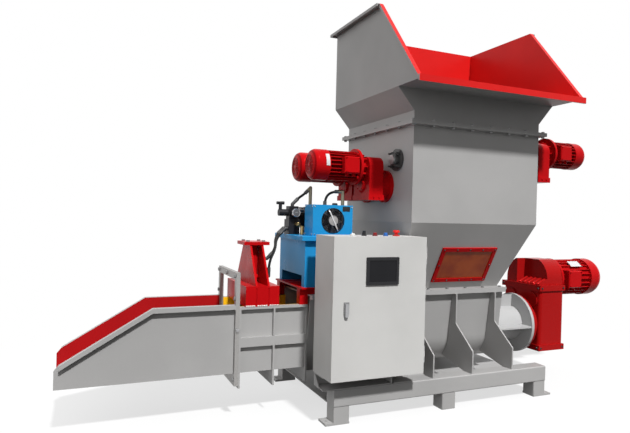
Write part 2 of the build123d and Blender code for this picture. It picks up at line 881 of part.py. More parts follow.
# Terminal box on the -Y side of a motor, with a chamfered lid
def terminal_box(middle_x, body_diameter, size, depth):
    front = -body_diameter / 2 - depth
    body = block(middle_x - size / 2, middle_x + size / 2, front, 0, -size / 2, size / 2)
    lid_edges = body.faces().sort_by(Axis.Y)[0].edges()
    return chamfer(lid_edges, depth * terminal_lid_chamfer_share)


def crusher_motor():
    flange_low = motor_adapter_length
    body_low = flange_low + motor_flange_thickness
    body_high = body_low + motor_body_length
    ribbed = finned_section(motor_adapter_diameter, adapter_rib_height, adapter_rib_thickness,
                            adapter_rib_count)
    motor = extrude(Plane.YZ * ribbed, flange_low, dir=(1, 0, 0))
    motor += bar_x(flange_low, body_low, 0, 0, motor_flange_diameter)
    section = finned_section(motor_body_diameter, motor_fin_height, motor_fin_thickness, motor_fin_count)
    motor += Pos(body_low, 0, 0) * extrude(Plane.YZ * section, motor_body_length, dir=(1, 0, 0))
    motor += Pos(body_high, 0, 0) * fan_cover(motor_cover_length, motor_cover_diameter, motor_cover_round)
    box_x = body_low + motor_box_size / 2 + motor_flange_thickness
    return motor + terminal_box(box_x, motor_body_diameter, motor_box_size, motor_box_depth)


def crusher_motor_place():
    case_high = gear_disc_thickness + gear_neck_length + gear_case_thickness
    return Pos(case_high, 0, gear_motor_rise)


# Main drive

# Flat-topped dome round the motor's axis. On its left side the back part reaches forward as a cheek,
# and a ribbed slope fills the corner in front of it.
def main_hood():
    right = main_case_right_x
    dome_left = right - main_dome_length
    cheek_left = main_case_left_x + main_cheek_setback
    low = main_shoulder_z + main_band_reach
    radius = main_dome_radius
    dome = bar_x(cheek_left, right, 0, main_motor_z, 2 * radius)
    dome += block(cheek_left, right, -radius, radius, low, main_motor_z)
    dome -= block(cheek_left - cut_overrun, right + cut_overrun, -radius, radius,
                  main_motor_z + radius - main_dome_flat, main_motor_z + radius + cut_overrun)
    dome -= block(cheek_left - cut_overrun, right + cut_overrun, -radius - cut_overrun, radius + cut_overrun,
                  main_case_bottom_z, low)
    dome -= block(cheek_left - cut_overrun, dome_left, -radius - cut_overrun, main_cheek_y, low,
                  main_motor_z + radius)
    slope = [(cheek_left, low), (dome_left, main_motor_z), (dome_left, low)]
    dome += plate_y(slope, -radius, radius + main_cheek_y)
    ridge = [(cheek_left, low), (cheek_left, low + main_rib_height),
             (dome_left, main_motor_z + main_rib_height), (dome_left, main_motor_z)]
    span = radius + main_cheek_y - main_rib_thickness
    for index in range(main_rib_count):
        dome += plate_y(ridge, -radius + span * index / main_rib_count, main_rib_thickness)
    return dome


def main_gear_case():
    half = main_case_half_width
    left = main_case_left_x
    right = main_case_right_x
    case = block(left, right, -half, half, main_case_bottom_z, main_shoulder_z)
    case = fillet(case.edges().filter_by(Axis.Z), main_case_corner)
    reach = main_band_reach
    for band_top in (main_shoulder_z + main_band_reach, main_case_bottom_z + main_band_height):
        case += block(left - reach, right, -half - reach, half + reach, band_top - main_band_height, band_top)
    case += main_hood()
    disc_high = drum_flange_face_x + main_disc_thickness
    case += bar_x(drum_flange_face_x, disc_high, 0, screw_axis_z, main_disc_diameter)
    case += bar_x(drum_flange_face_x, left, 0, screw_axis_z, main_neck_diameter)
    boss_y = half - main_boss_diameter / 2 - main_case_corner
    boss_z = main_shoulder_z - main_boss_diameter / 2 - main_band_height
    for side in (-1, 1):
        case += bar_x(left - main_boss_height, left, side * boss_y, boss_z, main_boss_diameter)
    case += bar_x(right, right + main_boss_height, 0, screw_axis_z, main_neck_diameter / 2)
    bore = drive_shaft_diameter + 2 * running_clearance
    return case - bar_x(drum_flange_face_x - cut_overrun, drive_shaft_end_x + rotor_end_reach, 0,
                        screw_axis_z, bore)


def main_motor():
    flange_low = main_adapter_length
    body_low = flange_low + main_flange_thickness
    body_high = body_low + main_body_length
    motor = bar_x(0, flange_low, 0, 0, main_adapter_diameter)
    motor += bar_x(flange_low, body_low, 0, 0, main_flange_diameter)
    section = finned_section(main_body_diameter, main_fin_height, motor_fin_thickness, motor_fin_count)
    motor += Pos(body_low, 0, 0) * extrude(Plane.YZ * section, main_body_length, dir=(1, 0, 0))
    motor += Pos(body_high, 0, 0) * fan_cover(main_cover_length, main_cover_diameter, main_cover_round)
    box_x = body_low + main_box_size / 2 + main_flange_thickness
    motor += terminal_box(box_x, main_body_diameter, main_box_size, main_box_depth)
    return Pos(main_case_right_x, 0, main_motor_z) * motor


# Press channel, portal and chute

def press_channel():
    half = channel_wall_half_width
    left = channel_left_x
    right = channel_right_x
    low = channel_floor_z - channel_floor_thickness
    body = block(left, right, -half, half, low, channel_top_z)
    outer = channel_outer_half_width
    body += block(left, right, -outer, outer, channel_top_z - channel_flange_thickness, channel_top_z)
    body += block(left, right, -outer, outer, channel_tube_low_z, channel_tube_high_z)
    inner = channel_half_width
    return body - block(left - cut_overrun, right + cut_overrun, -inner, inner, channel_floor_z,
                        channel_top_z + cut_overrun)


# Upright side ribs and cross ribs below the floor, each cut to fit round the flange and the tube
def channel_ribs():
    inner = channel_wall_half_width
    outer = channel_outer_half_width
    low = channel_rib_bottom_z
    under = channel_floor_z - channel_floor_thickness
    left = channel_left_x
    last = channel_right_x - channel_rib_thickness
    ribs = []
    for share in channel_rib_shares:
        x = left + (last - left) * share
        x_high = x + channel_rib_thickness
        ribs.append(block(x, x_high, -outer, outer, low, under))
        for side in (-1, 1):
            y_low, y_high = sorted((side * inner, side * outer))
            ribs.append(block(x, x_high, y_low, y_high, under, channel_tube_low_z))
            flange_low = channel_top_z - channel_flange_thickness
            ribs.append(block(x, x_high, y_low, y_high, channel_tube_high_z, flange_low))
    return ribs


def channel_liner(side):
    y_low, y_high = sorted((side * channel_half_width, side * (channel_half_width - liner_thickness)))
    return block(channel_left_x, channel_right_x, y_low, y_high, channel_top_z - liner_height, channel_top_z)


def portal_frame():
    outer = channel_outer_half_width
    inner = outer - portal_post_width
    frame = block(portal_left_x, portal_right_x, -outer, outer, portal_bottom_z, portal_top_z)
    floor = channel_floor_z
    return frame - block(portal_left_x - cut_overrun, portal_right_x + cut_overrun, -inner, inner, floor,
                         portal_top_z - portal_bar_height)


# The chute's side outline, from its tip up the slope and along the top edge to the portal
def chute_edge():
    run = chute_knee_x - chute_tip_x
    slope_z = chute_tip_z + (chute_top_z - chute_tip_z) * chute_tip_margin / run
    return [(chute_tip_x + chute_tip_margin, slope_z), (chute_knee_x, chute_top_z),
            (portal_left_x, chute_top_z)]


def discharge_chute():
    outer = channel_outer_half_width
    wall = channel_half_width + chute_sheet
    edge = chute_edge()
    outline = [(chute_tip_x, chute_bottom_z), (chute_tip_x, chute_tip_z - chute_tip_round), *edge,
               (portal_left_x, chute_bottom_z)]
    body = plate_y(outline, -wall, 2 * wall)
    lower = [(x, z - chute_flange_drop) for x, z in reversed(edge)]
    body += plate_y(edge + lower, -outer, 2 * outer)
    under = [(x, z - chute_flange_thickness) for x, z in edge] + [(x, z - cut_overrun) for x, z in lower]
    skin = outer - chute_flange_thickness
    for side in (-1, 1):
        y_low, y_high = sorted((side * wall, side * skin))
        body -= plate_y(under, y_low, y_high - y_low)
    low = chute_bottom_z + chute_sheet
    inner = channel_half_width
    return body - block(chute_tip_x - cut_overrun, portal_left_x + cut_overrun, -inner, inner, low,
                        chute_top_z + cut_overrun)


# Press tower with its cylinder and ram

def press_ports():
    return [(-port_offset_y, port_low_z), (port_offset_y, port_high_z)]


def press_tower():
    x_low = tower_middle_x - tower_base_length / 2
    x_high = tower_middle_x + tower_base_length / 2
    half = channel_outer_half_width
    base = block(x_low, x_high, -half, half, channel_top_z, tower_base_top_z)
    base -= block(x_low + tower_plate, x_high - tower_plate, -half + tower_plate, half - tower_plate,
                  channel_top_z - cut_overrun, tower_base_top_z - tower_plate)
    top = tower_top_size / 2
    tower = base + block(tower_middle_x - top, tower_middle_x + top, -top, top, tower_rib_top_z, tower_top_z)
    rib = [(-half, tower_base_top_z), (half, tower_base_top_z), (tower_rib_top_half, tower_rib_top_z),
           (-tower_rib_top_half, tower_rib_top_z)]
    for side in (-1, 1):
        rib_x = tower_middle_x + side * tower_rib_spacing / 2 - tower_rib_thickness / 2
        tower += plate_x(rib, rib_x, tower_rib_thickness)
        groove_x = tower_middle_x + side * tower_rib_spacing / 2 - tower_groove_width / 2
        for face in (-half, half - tower_groove_depth):
            tower -= block(groove_x, groove_x + tower_groove_width, face, face + tower_groove_depth,
                           channel_top_z, tower_base_top_z - tower_plate)
    hole = press_rod_diameter + 2 * press_rod_hole_gap
    tower -= bar_z(tower_middle_x, 0, channel_top_z, tower_base_top_z + cut_overrun, hole)
    for y, z in press_ports():
        tower -= bar_x(tower_middle_x, port_end_x, y, z, port_diameter + 2 * port_hole_gap)
    return tower


def press_cylinder():
    barrel = bar_z(tower_middle_x, 0, tower_base_top_z, press_barrel_top_z, press_barrel_diameter)
    for y, z in press_ports():
        barrel += bar_x(tower_middle_x, port_end_x, y, z, port_diameter)
    bore = press_rod_diameter + 2 * running_clearance
    bore_top = press_barrel_top_z - press_rod_margin / 2
    return barrel - bar_z(tower_middle_x, 0, tower_base_top_z - cut_overrun, bore_top, bore)


def press_ram():
    rod = bar_z(tower_middle_x, 0, press_plate_bottom_z, press_barrel_top_z - press_rod_margin,
                press_rod_diameter)
    half_x = tower_base_length / 2 - tower_plate - press_plate_gap
    half_y = channel_half_width - liner_thickness - press_plate_gap
    plate = block(tower_middle_x - half_x, tower_middle_x + half_x, -half_y, half_y, press_plate_bottom_z,
                  press_plate_top_z)
    return rod + plate


# Hydraulic unit

def tank_stand():
    half = stand_half_width
    under = stand_top_z - stand_plate
    stand = block(stand_left_x, stand_right_x, -half, half, under, stand_top_z)
    apron = half - stand_apron_setback
    leg_x = stand_left_x + stand_leg
    for side in (-1, 1):
        y_low, y_high = sorted((side * apron, side * (apron - stand_leg_thickness)))
        stand += block(leg_x, stand_right_x, y_low, y_high, cover_top_z, under)
        stand += block(stand_left_x, leg_x, y_low, y_high, channel_top_z, under)
        foot_low, foot_high = sorted((side * apron, side * (apron - stand_leg)))
        stand += block(stand_left_x, stand_left_x + stand_leg_thickness, foot_low, foot_high, channel_top_z,
                       under)
    return stand


def oil_tank():
    half = tank_half_width
    tank = block(tank_left_x, tank_right_x, -half, half, stand_top_z, tank_top_z)
    inner = half - tank_skirt
    return tank - block(tank_left_x - cut_overrun, tank_right_x + cut_overrun, -inner, inner,
                        stand_top_z - cut_overrun, tank_floor_z)


def tank_lid():
    half = tank_half_width + lid_reach
    lid = block(tank_left_x - lid_reach, tank_right_x + lid_reach, -half, half, tank_top_z, lid_top_z)
    return chamfer(lid.faces().sort_by(Axis.Z)[-1].edges(), rim_thickness / 2)


def cooler_housing():
    sheet = cooler_sheet
    body = block(cooler_left_x, cooler_right_x, cooler_front_y, cooler_back_y, lid_top_z, cooler_top_z)
    body -= block(cooler_left_x + sheet, cooler_right_x - sheet, cooler_front_y + sheet,
                  cooler_back_y + cut_overrun, lid_top_z + sheet, cooler_top_z - sheet)
    return body - bar_y(fan_x, cooler_front_y - cut_overrun, cooler_front_y + cut_overrun, fan_z,
                        fan_opening_diameter)


# The core fills the back of the housing and has upright grooves between its fins
def cooler_core():
    sheet = cooler_sheet
    x_low = cooler_left_x + sheet
    x_high = cooler_right_x - sheet
    y_low = cooler_back_y - cooler_core_depth
    z_low = lid_top_z + sheet
    z_high = cooler_top_z - sheet
    core = block(x_low, x_high, y_low, cooler_back_y, z_low, z_high)
    pitch = (x_high - x_low) / cooler_core_fins
    gap = pitch * cooler_fin_gap_share
    for index in range(cooler_core_fins):
        groove_x = x_low + pitch * index + (pitch - gap) / 2
        for face_y in (y_low, cooler_back_y - cooler_fin_depth):
            core -= block(groove_x, groove_x + gap, face_y, face_y + cooler_fin_depth,
                          z_low + cooler_fin_depth, z_high - cooler_fin_depth)
    return core


# Guard of wire rings on spokes, with the fan's motor hub and its pin in the middle
def fan_guard():
    y_low = cooler_front_y - guard_wire
    guard = bar_y(fan_x, y_low, y_low + guard_hub_thickness, fan_z, guard_hub_diameter)
    guard += bar_y(fan_x, y_low, cooler_front_y + fan_pin_length, fan_z, fan_pin_diameter)
    outer = fan_opening_diameter / 2 + guard_wire
    inner = guard_hub_diameter / 2
    middle_y = cooler_front_y - guard_wire / 2
    for index in range(guard_ring_count):
        radius = inner + (outer - inner) * (index + 1) / guard_ring_count
        ring = Circle(radius) - Circle(radius - guard_wire)
        guard += Pos(fan_x, cooler_front_y, fan_z) * extrude(Plane.XZ * ring, guard_wire, dir=(0, -1, 0))
    for index in range(guard_spoke_count):
        turn = 360 * (2 * index + 1) / (2 * guard_spoke_count)
        spoke = block(inner - guard_wire, outer, -guard_wire / 2, guard_wire / 2, -guard_wire / 2,
                      guard_wire / 2)
        guard += Pos(fan_x, middle_y, fan_z) * Rot(0, turn, 0) * spoke
    return guard


def cooler_fan():
    y_low = cooler_front_y + fan_setback
    fan = bar_y(fan_x, y_low, y_low + fan_blade_depth, fan_z, fan_hub_diameter)
    root = fan_hub_diameter / 2 - guard_wire
    length = fan_diameter / 2 - root
    width = fan_blade_depth / math.sin(math.radians(fan_blade_pitch_degrees))
    for index in range(fan_blade_count):
        blade = Box(length, fan_blade_thickness, width - fan_blade_depth / 2)
        blade = Pos(root + length / 2, 0, 0) * Rot(-fan_blade_pitch_degrees, 0, 0) * blade
        turn = 360 * index / fan_blade_count
        fan += Pos(fan_x, y_low + fan_blade_depth / 2, fan_z) * Rot(0, turn, 0) * blade
    bore = fan_pin_diameter + 2 * running_clearance
    return fan - bar_y(fan_x, cooler_front_y, y_low + fan_blade_depth + cut_overrun, fan_z, bore)


def valve_stack():
    x = manifold_x
    y = manifold_y
    z = lid_top_z
    stack = block(x - manifold_length / 2, x + manifold_length / 2, y - manifold_width / 2,
                  y + manifold_width / 2, z, z + manifold_height)
    valve_low = z + manifold_height
    valve_mid = valve_low + valve_height / 2
    stack += block(x - valve_length / 2, x + valve_length / 2, y - valve_width / 2, y + valve_width / 2,
                   valve_low, valve_low + valve_height)
    left = x - valve_length / 2
    stack += bar_x(left - coil_length, left, y, valve_mid, coil_diameter)
    stack += bar_z(left - coil_length + knob_diameter / 2, y, valve_mid,
                   valve_mid + coil_diameter / 2 + knob_length, knob_diameter)
    return stack


def pressure_gauge():
    front = manifold_y - valve_width / 2
    z = lid_top_z + manifold_height + valve_height / 2
    gauge = bar_y(manifold_x, front - gauge_stem, front, z, gauge_stem)
    return gauge + bar_y(manifold_x, front - gauge_stem - gauge_depth, front - gauge_stem, z, gauge_diameter)


# Each hose runs between two fittings: the corner of each, and the way from there to its open end
def hose_fitting_pairs():
    outlet_x = manifold_x - manifold_length / 2 - elbow_sleeve
    (low_y, low_z), (high_y, high_z) = press_ports()
    low_outlet = ((outlet_x, press_outlet_low_y, press_outlet_z), (-1, 0, -1))
    high_outlet = ((outlet_x, press_outlet_high_y, press_outlet_z), (-1, 0, -1))
    low_port = ((port_elbow_x, low_y, low_z), (0, 0, 1))
    high_port = ((port_elbow_x, high_y, high_z), (1, 0, 1))
    valve_top = ((manifold_x, manifold_y, valve_elbow_z), (1, 0, 1))
    valve_pipe = ((valve_pipe_x, valve_pipe_y, valve_pipe_top), (-1, 0, -1))
    cooler_pipe = ((cooler_pipe_x, cooler_pipe_y, cooler_pipe_top - elbow_arm), (0, 0, 1))
    cooler_way = (cooler_pipe_x - cooler_fitting_x, cooler_pipe_y - cooler_fitting_y, 0)
    cooler_top = ((cooler_fitting_x, cooler_fitting_y, cooler_elbow_z), cooler_way)
    return {"press_hose_low": (low_outlet, low_port), "press_hose_high": (high_outlet, high_port),
            "valve_hose": (valve_top, valve_pipe), "cooler_hose": (cooler_pipe, cooler_top)}


def open_end(corner, way):
    return Vector(*corner) + Vector(*way).normalized() * elbow_arm


def elbow(feed, corner, way):
    joint = Pos(*corner) * Sphere(fitting_diameter / 2)
    arm = bar_between(corner, open_end(corner, way), fitting_diameter)
    return bar_between(feed, corner, fitting_diameter) + joint + arm


def hose_fittings():
    pairs = hose_fitting_pairs()
    fittings = []
    for name in ("press_hose_low", "press_hose_high"):
        outlet, port = pairs[name]
        x, y, z = outlet[0]
        fittings.append(elbow((x + elbow_sleeve, y, z), *outlet))
        x, y, z = port[0]
        fittings.append(elbow((port_end_x, y, z), *port))
    valve_top, valve_pipe = pairs["valve_hose"]
    cooler_fitting = pairs["cooler_hose"][1]
    fittings.append(elbow((manifold_x, manifold_y, lid_top_z + manifold_height + valve_height), *valve_top))
    fittings.append(elbow((valve_pipe_x, valve_pipe_y, lid_top_z), *valve_pipe))
    fittings.append(elbow((cooler_fitting_x, cooler_fitting_y, cooler_top_z), *cooler_fitting))
    fittings.append(bar_z(cooler_pipe_x, cooler_pipe_y, lid_top_z, cooler_pipe_top, fitting_diameter))
    return fittings


def pump_motor():
    axis_z = lid_top_z + pump_foot_height + pump_motor_diameter / 2 + pump_motor_fin_height
    section = finned_section(pump_motor_diameter, pump_motor_fin_height, motor_fin_thickness,
                             pump_motor_fin_count)
    motor = extrude(Plane.YZ * section, pump_motor_length, dir=(1, 0, 0))
    cover = fan_cover(pump_cover_length, pump_motor_diameter + 2 * pump_motor_fin_height, pump_cover_round)
    motor += Pos(pump_motor_length, 0, 0) * cover
    foot_low = lid_top_z - axis_z
    inset = pump_motor_length * pump_foot_inset_share
    motor += block(inset, pump_motor_length - inset, -pump_foot_width / 2, pump_foot_width / 2, foot_low,
                   foot_low + pump_foot_height)
    web = pump_foot_width * pump_web_share
    motor += block(inset, pump_motor_length - inset, -web, web, foot_low, 0)
    return Pos(pump_motor_left_x, pump_motor_y, axis_z) * motor


def hydraulic_pump():
    axis_z = lid_top_z + pump_foot_height + pump_motor_diameter / 2 + pump_motor_fin_height
    body = Plane.YZ * RectangleRounded(pump_diameter, pump_diameter, pump_diameter * pump_corner_share)
    pump = extrude(body, pump_length, dir=(1, 0, 0))
    return Pos(pump_motor_left_x - pump_length, pump_motor_y, axis_z) * pump


# Hoses: straight runs joined by the largest tangent arcs that the runs allow

def hose(name, corners):
    first, last = [open_end(*fitting) for fitting in hose_fitting_pairs()[name]]
    points = [first, *[Vector(*corner) for corner in corners], last]
    radii = []
    for before, corner, after in zip(points, points[1:], points[2:]):
        turn = math.radians((corner - before).get_angle(after - corner))
        shorter = min((corner - before).length, (after - corner).length)
        radii.append(hose_bend_share * shorter / math.tan(turn / 2))
    path = FilletPolyline(*points, radius=radii)
    section = Plane(origin=path @ 0, z_dir=path % 0) * Circle(hose_diameter / 2)
    tube = sweep(section, path)
    area = math.pi * (hose_diameter / 2) ** 2
    print(name, "points", [tuple(round(part, 1) for part in point) for point in points])
    print(name, "radii", [round(radius) for radius in radii], "length", round(path.length),
          "volume over section times length", round(tube.volume / (area * path.length), 4))
    return tube


# Control cabinet

def cabinet_body():
    sheet = cabinet_sheet
    body = block(cabinet_left_x, cabinet_right_x, body_front_y, cabinet_back_y, cabinet_bottom_z,
                 cabinet_top_z)
    body -= block(cabinet_left_x + sheet, cabinet_right_x - sheet, body_front_y + sheet,
                  cabinet_back_y - sheet, cabinet_bottom_z + sheet, cabinet_top_z - sheet)
    lip = door_lip
    return body - block(cabinet_left_x + lip, cabinet_right_x - lip, body_front_y - cut_overrun,
                        body_front_y + cut_overrun, cabinet_bottom_z + lip, cabinet_top_z - lip)


def hinge_heights():
    return [cabinet_bottom_z + hinge_inset, cabinet_top_z - hinge_inset]


# The door is a folded pan with a leaf and a knuckle at each hinge
def cabinet_door():
    sheet = cabinet_sheet
    door = block(cabinet_left_x, cabinet_right_x, cabinet_front_y, door_back_y, cabinet_bottom_z,
                 cabinet_top_z)
    door -= block(cabinet_left_x + sheet, cabinet_right_x - sheet, cabinet_front_y + sheet,
                  door_back_y + cut_overrun, cabinet_bottom_z + sheet, cabinet_top_z - sheet)
    half = hinge_knuckle_length / 2
    for z in hinge_heights():
        knuckle = bar_z(hinge_x, hinge_y, z - half, z + half, hinge_knuckle_diameter)
        knuckle -= block(cabinet_left_x, cabinet_right_x, hinge_y, body_front_y + cut_overrun, z - half,
                         z + half)
        leaf = block(cabinet_right_x, cabinet_right_x + hinge_leaf_thickness, cabinet_front_y, hinge_y,
                     z - half, z + half)
        bore = hinge_pin_diameter + 2 * running_clearance
        door += knuckle + leaf - bar_z(hinge_x, hinge_y, z - half - cut_overrun, z + half + cut_overrun, bore)
    spindle_bore = latch_spindle_diameter + 2 * running_clearance
    return door - bar_y(latch_x, cabinet_front_y - cut_overrun, cabinet_front_y + sheet + cut_overrun,
                        latch_z + latch_pivot_rise, spindle_bore)


# Pins with a knuckle above and below the door's own, and a leaf on the cabinet's side
def door_hinges():
    hinges = []
    half = hinge_knuckle_length / 2
    for z in hinge_heights():
        reach = half + hinge_knuckle_length
        pin = bar_z(hinge_x, hinge_y, z - reach, z + reach, hinge_pin_diameter)
        for low in (z - half - knuckle_gap - hinge_knuckle_length, z + half + knuckle_gap):
            high = low + hinge_knuckle_length
            knuckle = bar_z(hinge_x, hinge_y, low, high, hinge_knuckle_diameter)
            leaf = block(cabinet_right_x, cabinet_right_x + hinge_leaf_thickness, body_front_y,
                         body_front_y + hinge_leaf_length, low, high)
            pin += knuckle + leaf
        hinges.append(pin)
    return hinges


# Plate with a pointed lower end
def latch_plate():
    half = latch_plate_width / 2
    tip = half * latch_plate_tip_share
    top = latch_z + latch_plate_height / 2
    low = latch_z - latch_plate_height / 2
    shoulder = low + latch_plate_height * latch_plate_taper_share
    outline = [(-half, top), (half, top), (half, shoulder), (tip, low), (-tip, low), (-half, shoulder)]
    y_low = cabinet_front_y - latch_plate_thickness
    plate = plate_y([(latch_x + x, z) for x, z in outline], y_low, latch_plate_thickness)
    bore = latch_spindle_diameter + 2 * running_clearance
    return plate - bar_y(latch_x, y_low - cut_overrun, cabinet_front_y + cut_overrun,
                         latch_z + latch_pivot_rise, bore)


# Lever that hangs down from its spindle, held off the plate
def latch_lever():
    pivot_z = latch_z + latch_pivot_rise
    y_high = cabinet_front_y - latch_plate_thickness - knuckle_gap
    lever_z = pivot_z + latch_lever_width / 2 - latch_lever_length / 2
    outline = RectangleRounded(latch_lever_width, latch_lever_length,
                               latch_lever_width * latch_lever_round_share)
    lever = Plane.XZ * Pos(latch_x, lever_z) * outline
    lever = Pos(0, y_high, 0) * extrude(lever, latch_lever_thickness, dir=(0, -1, 0))
    inner_end = cabinet_front_y + cabinet_sheet + latch_spindle_rise
    return lever + bar_y(latch_x, y_high - latch_lever_thickness / 2, inner_end, pivot_z,
                         latch_spindle_diameter)


def panel_bezel_piece():
    outline = RectangleRounded(panel_width, panel_height, panel_bezel * panel_corner_share)
    outline = Plane.XZ * Pos(panel_x, panel_z) * outline
    bezel = Pos(0, cabinet_front_y, 0) * extrude(outline, panel_depth, dir=(0, -1, 0))
    opening = extrude(panel_opening(), cut_overrun, dir=(0, -1, 0))
    return bezel - Pos(0, cabinet_front_y - panel_depth / 2, 0) * opening


def panel_opening():
    size = Rectangle(panel_width - 2 * panel_bezel, panel_height - 2 * panel_bezel)
    return Plane.XZ * Pos(panel_x, panel_z) * size


def panel_glass():
    depth = panel_depth / 2 - panel_glass_inset
    return Pos(0, cabinet_front_y - panel_depth / 2, 0) * extrude(panel_opening(), depth, dir=(0, -1, 0))


# Folded channel between the rail and the cabinet, open to the front, with a gusset at its left end
def cabinet_bracket(x_low, x_high):
    front = -base_width / 2
    back = bracket_back_y
    bracket = block(x_low, x_high, front, back, rail_top_z, rail_top_z + bracket_plate)
    bracket += block(x_low, x_high, back - bracket_plate, back, rail_top_z, cabinet_bottom_z)
    bracket += block(x_low, x_high, front, back, cabinet_bottom_z - bracket_plate, cabinet_bottom_z)
    gusset = [(back, cabinet_bottom_z), (back, rail_top_z), (back - bracket_gusset, rail_top_z)]
    return bracket + plate_x(gusset, x_low, bracket_plate)


def mounting_plate():
    back = cabinet_back_y - cabinet_sheet
    front = back - plate_standoff
    margin = plate_margin
    plate = block(cabinet_left_x + margin, cabinet_right_x - margin, front - plate_thickness, front,
                  cabinet_bottom_z + margin, cabinet_top_z - margin)
    for x in (cabinet_left_x + 2 * margin, cabinet_right_x - 2 * margin):
        for z in (cabinet_bottom_z + 2 * margin, cabinet_top_z - 2 * margin):
            plate += bar_y(x, front, back, z, standoff_diameter)
    return plate


# Rows of drives, contactors and terminals on the mounting plate
def switchgear():
    back = cabinet_back_y - cabinet_sheet - plate_standoff - plate_thickness
    left = cabinet_left_x + 2 * plate_margin
    right = cabinet_right_x - 2 * plate_margin
    top = cabinet_top_z - 2 * plate_margin
    row_space = (top - cabinet_bottom_z - 2 * plate_margin) / gear_row_count
    units = []
    rows = zip(gear_row_depth_shares, gear_row_height_shares, gear_row_unit_counts)
    for row, (depth_share, height_share, count) in enumerate(rows):
        middle_z = top - row_space * row - row_space / 2
        half = cabinet_height * height_share / 2
        pitch = (right - left) / count
        for index in range(count):
            x = left + pitch * index
            front = back - cabinet_depth * depth_share
            units.append(block(x, x + pitch - gear_unit_gap, front, back, middle_z - half, middle_z + half))
    return units


def device_x(name):
    return device_first_x + device_pitch * device_names.index(name)


def device_collar(name):
    outer = stop_collar_diameter if name == "emergency" else device_collar_diameter
    bore = device_head_diameter + 2 * running_clearance
    collar = bar_z(device_x(name), device_y, cabinet_top_z, cabinet_top_z + device_collar_height, outer)
    return collar - bar_z(device_x(name), device_y, cabinet_top_z - cut_overrun,
                          cabinet_top_z + cut_overrun, bore)


def device_head(name):
    low = cabinet_top_z + device_head_lift
    head = bar_z(device_x(name), device_y, low, low + device_head_height, device_head_diameter)
    return fillet(head.edges().sort_by(Axis.Z)[-1], device_head_diameter * device_round_share)


def signal_lamp():
    lamp = bar_z(device_x("lamp"), device_y, cabinet_top_z, cabinet_top_z + device_head_height,
                 device_head_diameter)
    return fillet(lamp.edges().sort_by(Axis.Z)[-1], device_head_diameter * lamp_round_share)


def selector_knob():
    x = device_x("selector")
    top = cabinet_top_z + device_head_lift + device_head_height
    half = device_head_diameter / 2
    bar = block(x - selector_bar_width / 2, x + selector_bar_width / 2, device_y - half, device_y + half,
                top - device_head_height / 2, top + selector_bar_height)
    return device_head("selector") + bar


def emergency_stop():
    x = device_x("emergency")
    low = cabinet_top_z + device_head_lift
    head_low = cabinet_top_z + stop_stem_rise
    stem = bar_z(x, device_y, low, head_low + stop_head_height / 2, device_head_diameter)
    head = bar_z(x, device_y, head_low, head_low + stop_head_height, stop_head_diameter)
    return stem + fillet(head.edges().sort_by(Axis.Z)[-1], stop_head_height / 2)


# Bolt heads above and nuts below the flanges

def flange_bolts():
    bolts = []
    edge = box_flange_reach / 2
    x_low, x_high = box_left_x - edge, box_right_x + edge
    y_low, y_high = box_front_y - edge, box_back_y + edge
    top = box_top_z + box_flange_thickness
    under = box_top_z - box_flange_thickness - nut_height
    places = [(x, y) for x in evenly(x_low, x_high, hopper_bolt_pitch) for y in (y_low, y_high)]
    places += [(x, y) for y in evenly(y_low, y_high, hopper_bolt_pitch)[1:-1] for x in (x_low, x_high)]
    for x, y in places:
        bolts.append(hex_z(x, y, top, bolt_height, bolt_width))
        bolts.append(hex_z(x, y, under, nut_height, bolt_width))
    side_y = trough_flange_half_width - trough_bolt_edge
    first_x = hopper_left_x
    for x in evenly(first_x, hopper_right_x - trough_bolt_edge, trough_bolt_pitch):
        for side in (-1, 1):
            bolts.append(hex_z(x, side * side_y, hopper_bottom_z, bolt_height, bolt_width))
    corner = tower_top_size / 2 - tower_bolt_edge
    for x in (tower_middle_x - corner, tower_middle_x + corner):
        for y in (-corner, corner):
            bolts.append(hex_z(x, y, tower_top_z, bolt_height, bolt_width))
    head = Rot(0, -90, 0) * extrude(RegularPolygon(bolt_width / 2, 6, major_radius=False), bolt_height)
    post_y = channel_outer_half_width - portal_post_width / 2
    low_z = portal_bottom_z + portal_post_width
    high_z = portal_top_z - portal_bar_height / 2
    free_low = chute_top_z + portal_post_width
    for side in (-1, 1):
        for z in (free_low, high_z):
            bolts.append(Pos(portal_left_x, side * post_y, z) * head)
        bolts.append(Pos(portal_left_x, side * post_y, low_z) * head)
    bolts.append(Pos(portal_left_x, 0, high_z) * head)
    return bolts


os.makedirs("parts", exist_ok=True)

write("base_rails", rail(-1), rail(1), drip_tray())
write("legs", *[leg(end, side) for end in (-1, 0, 1) for side in (-1, 1)])
write("screw_trough", screw_trough() + trough_cover())
write("trough_ribs", *[side_rib(x, side) for x in rib_places() for side in (-1, 1)])
write("bearing_drum", bearing_drum())
write("auger", auger())
write("lower_hopper", lower_hopper())
write("window_frame", window_frame())
write("window_pane", window_pane())
write("crusher_box", crusher_box())
write("upper_hopper", upper_hopper())

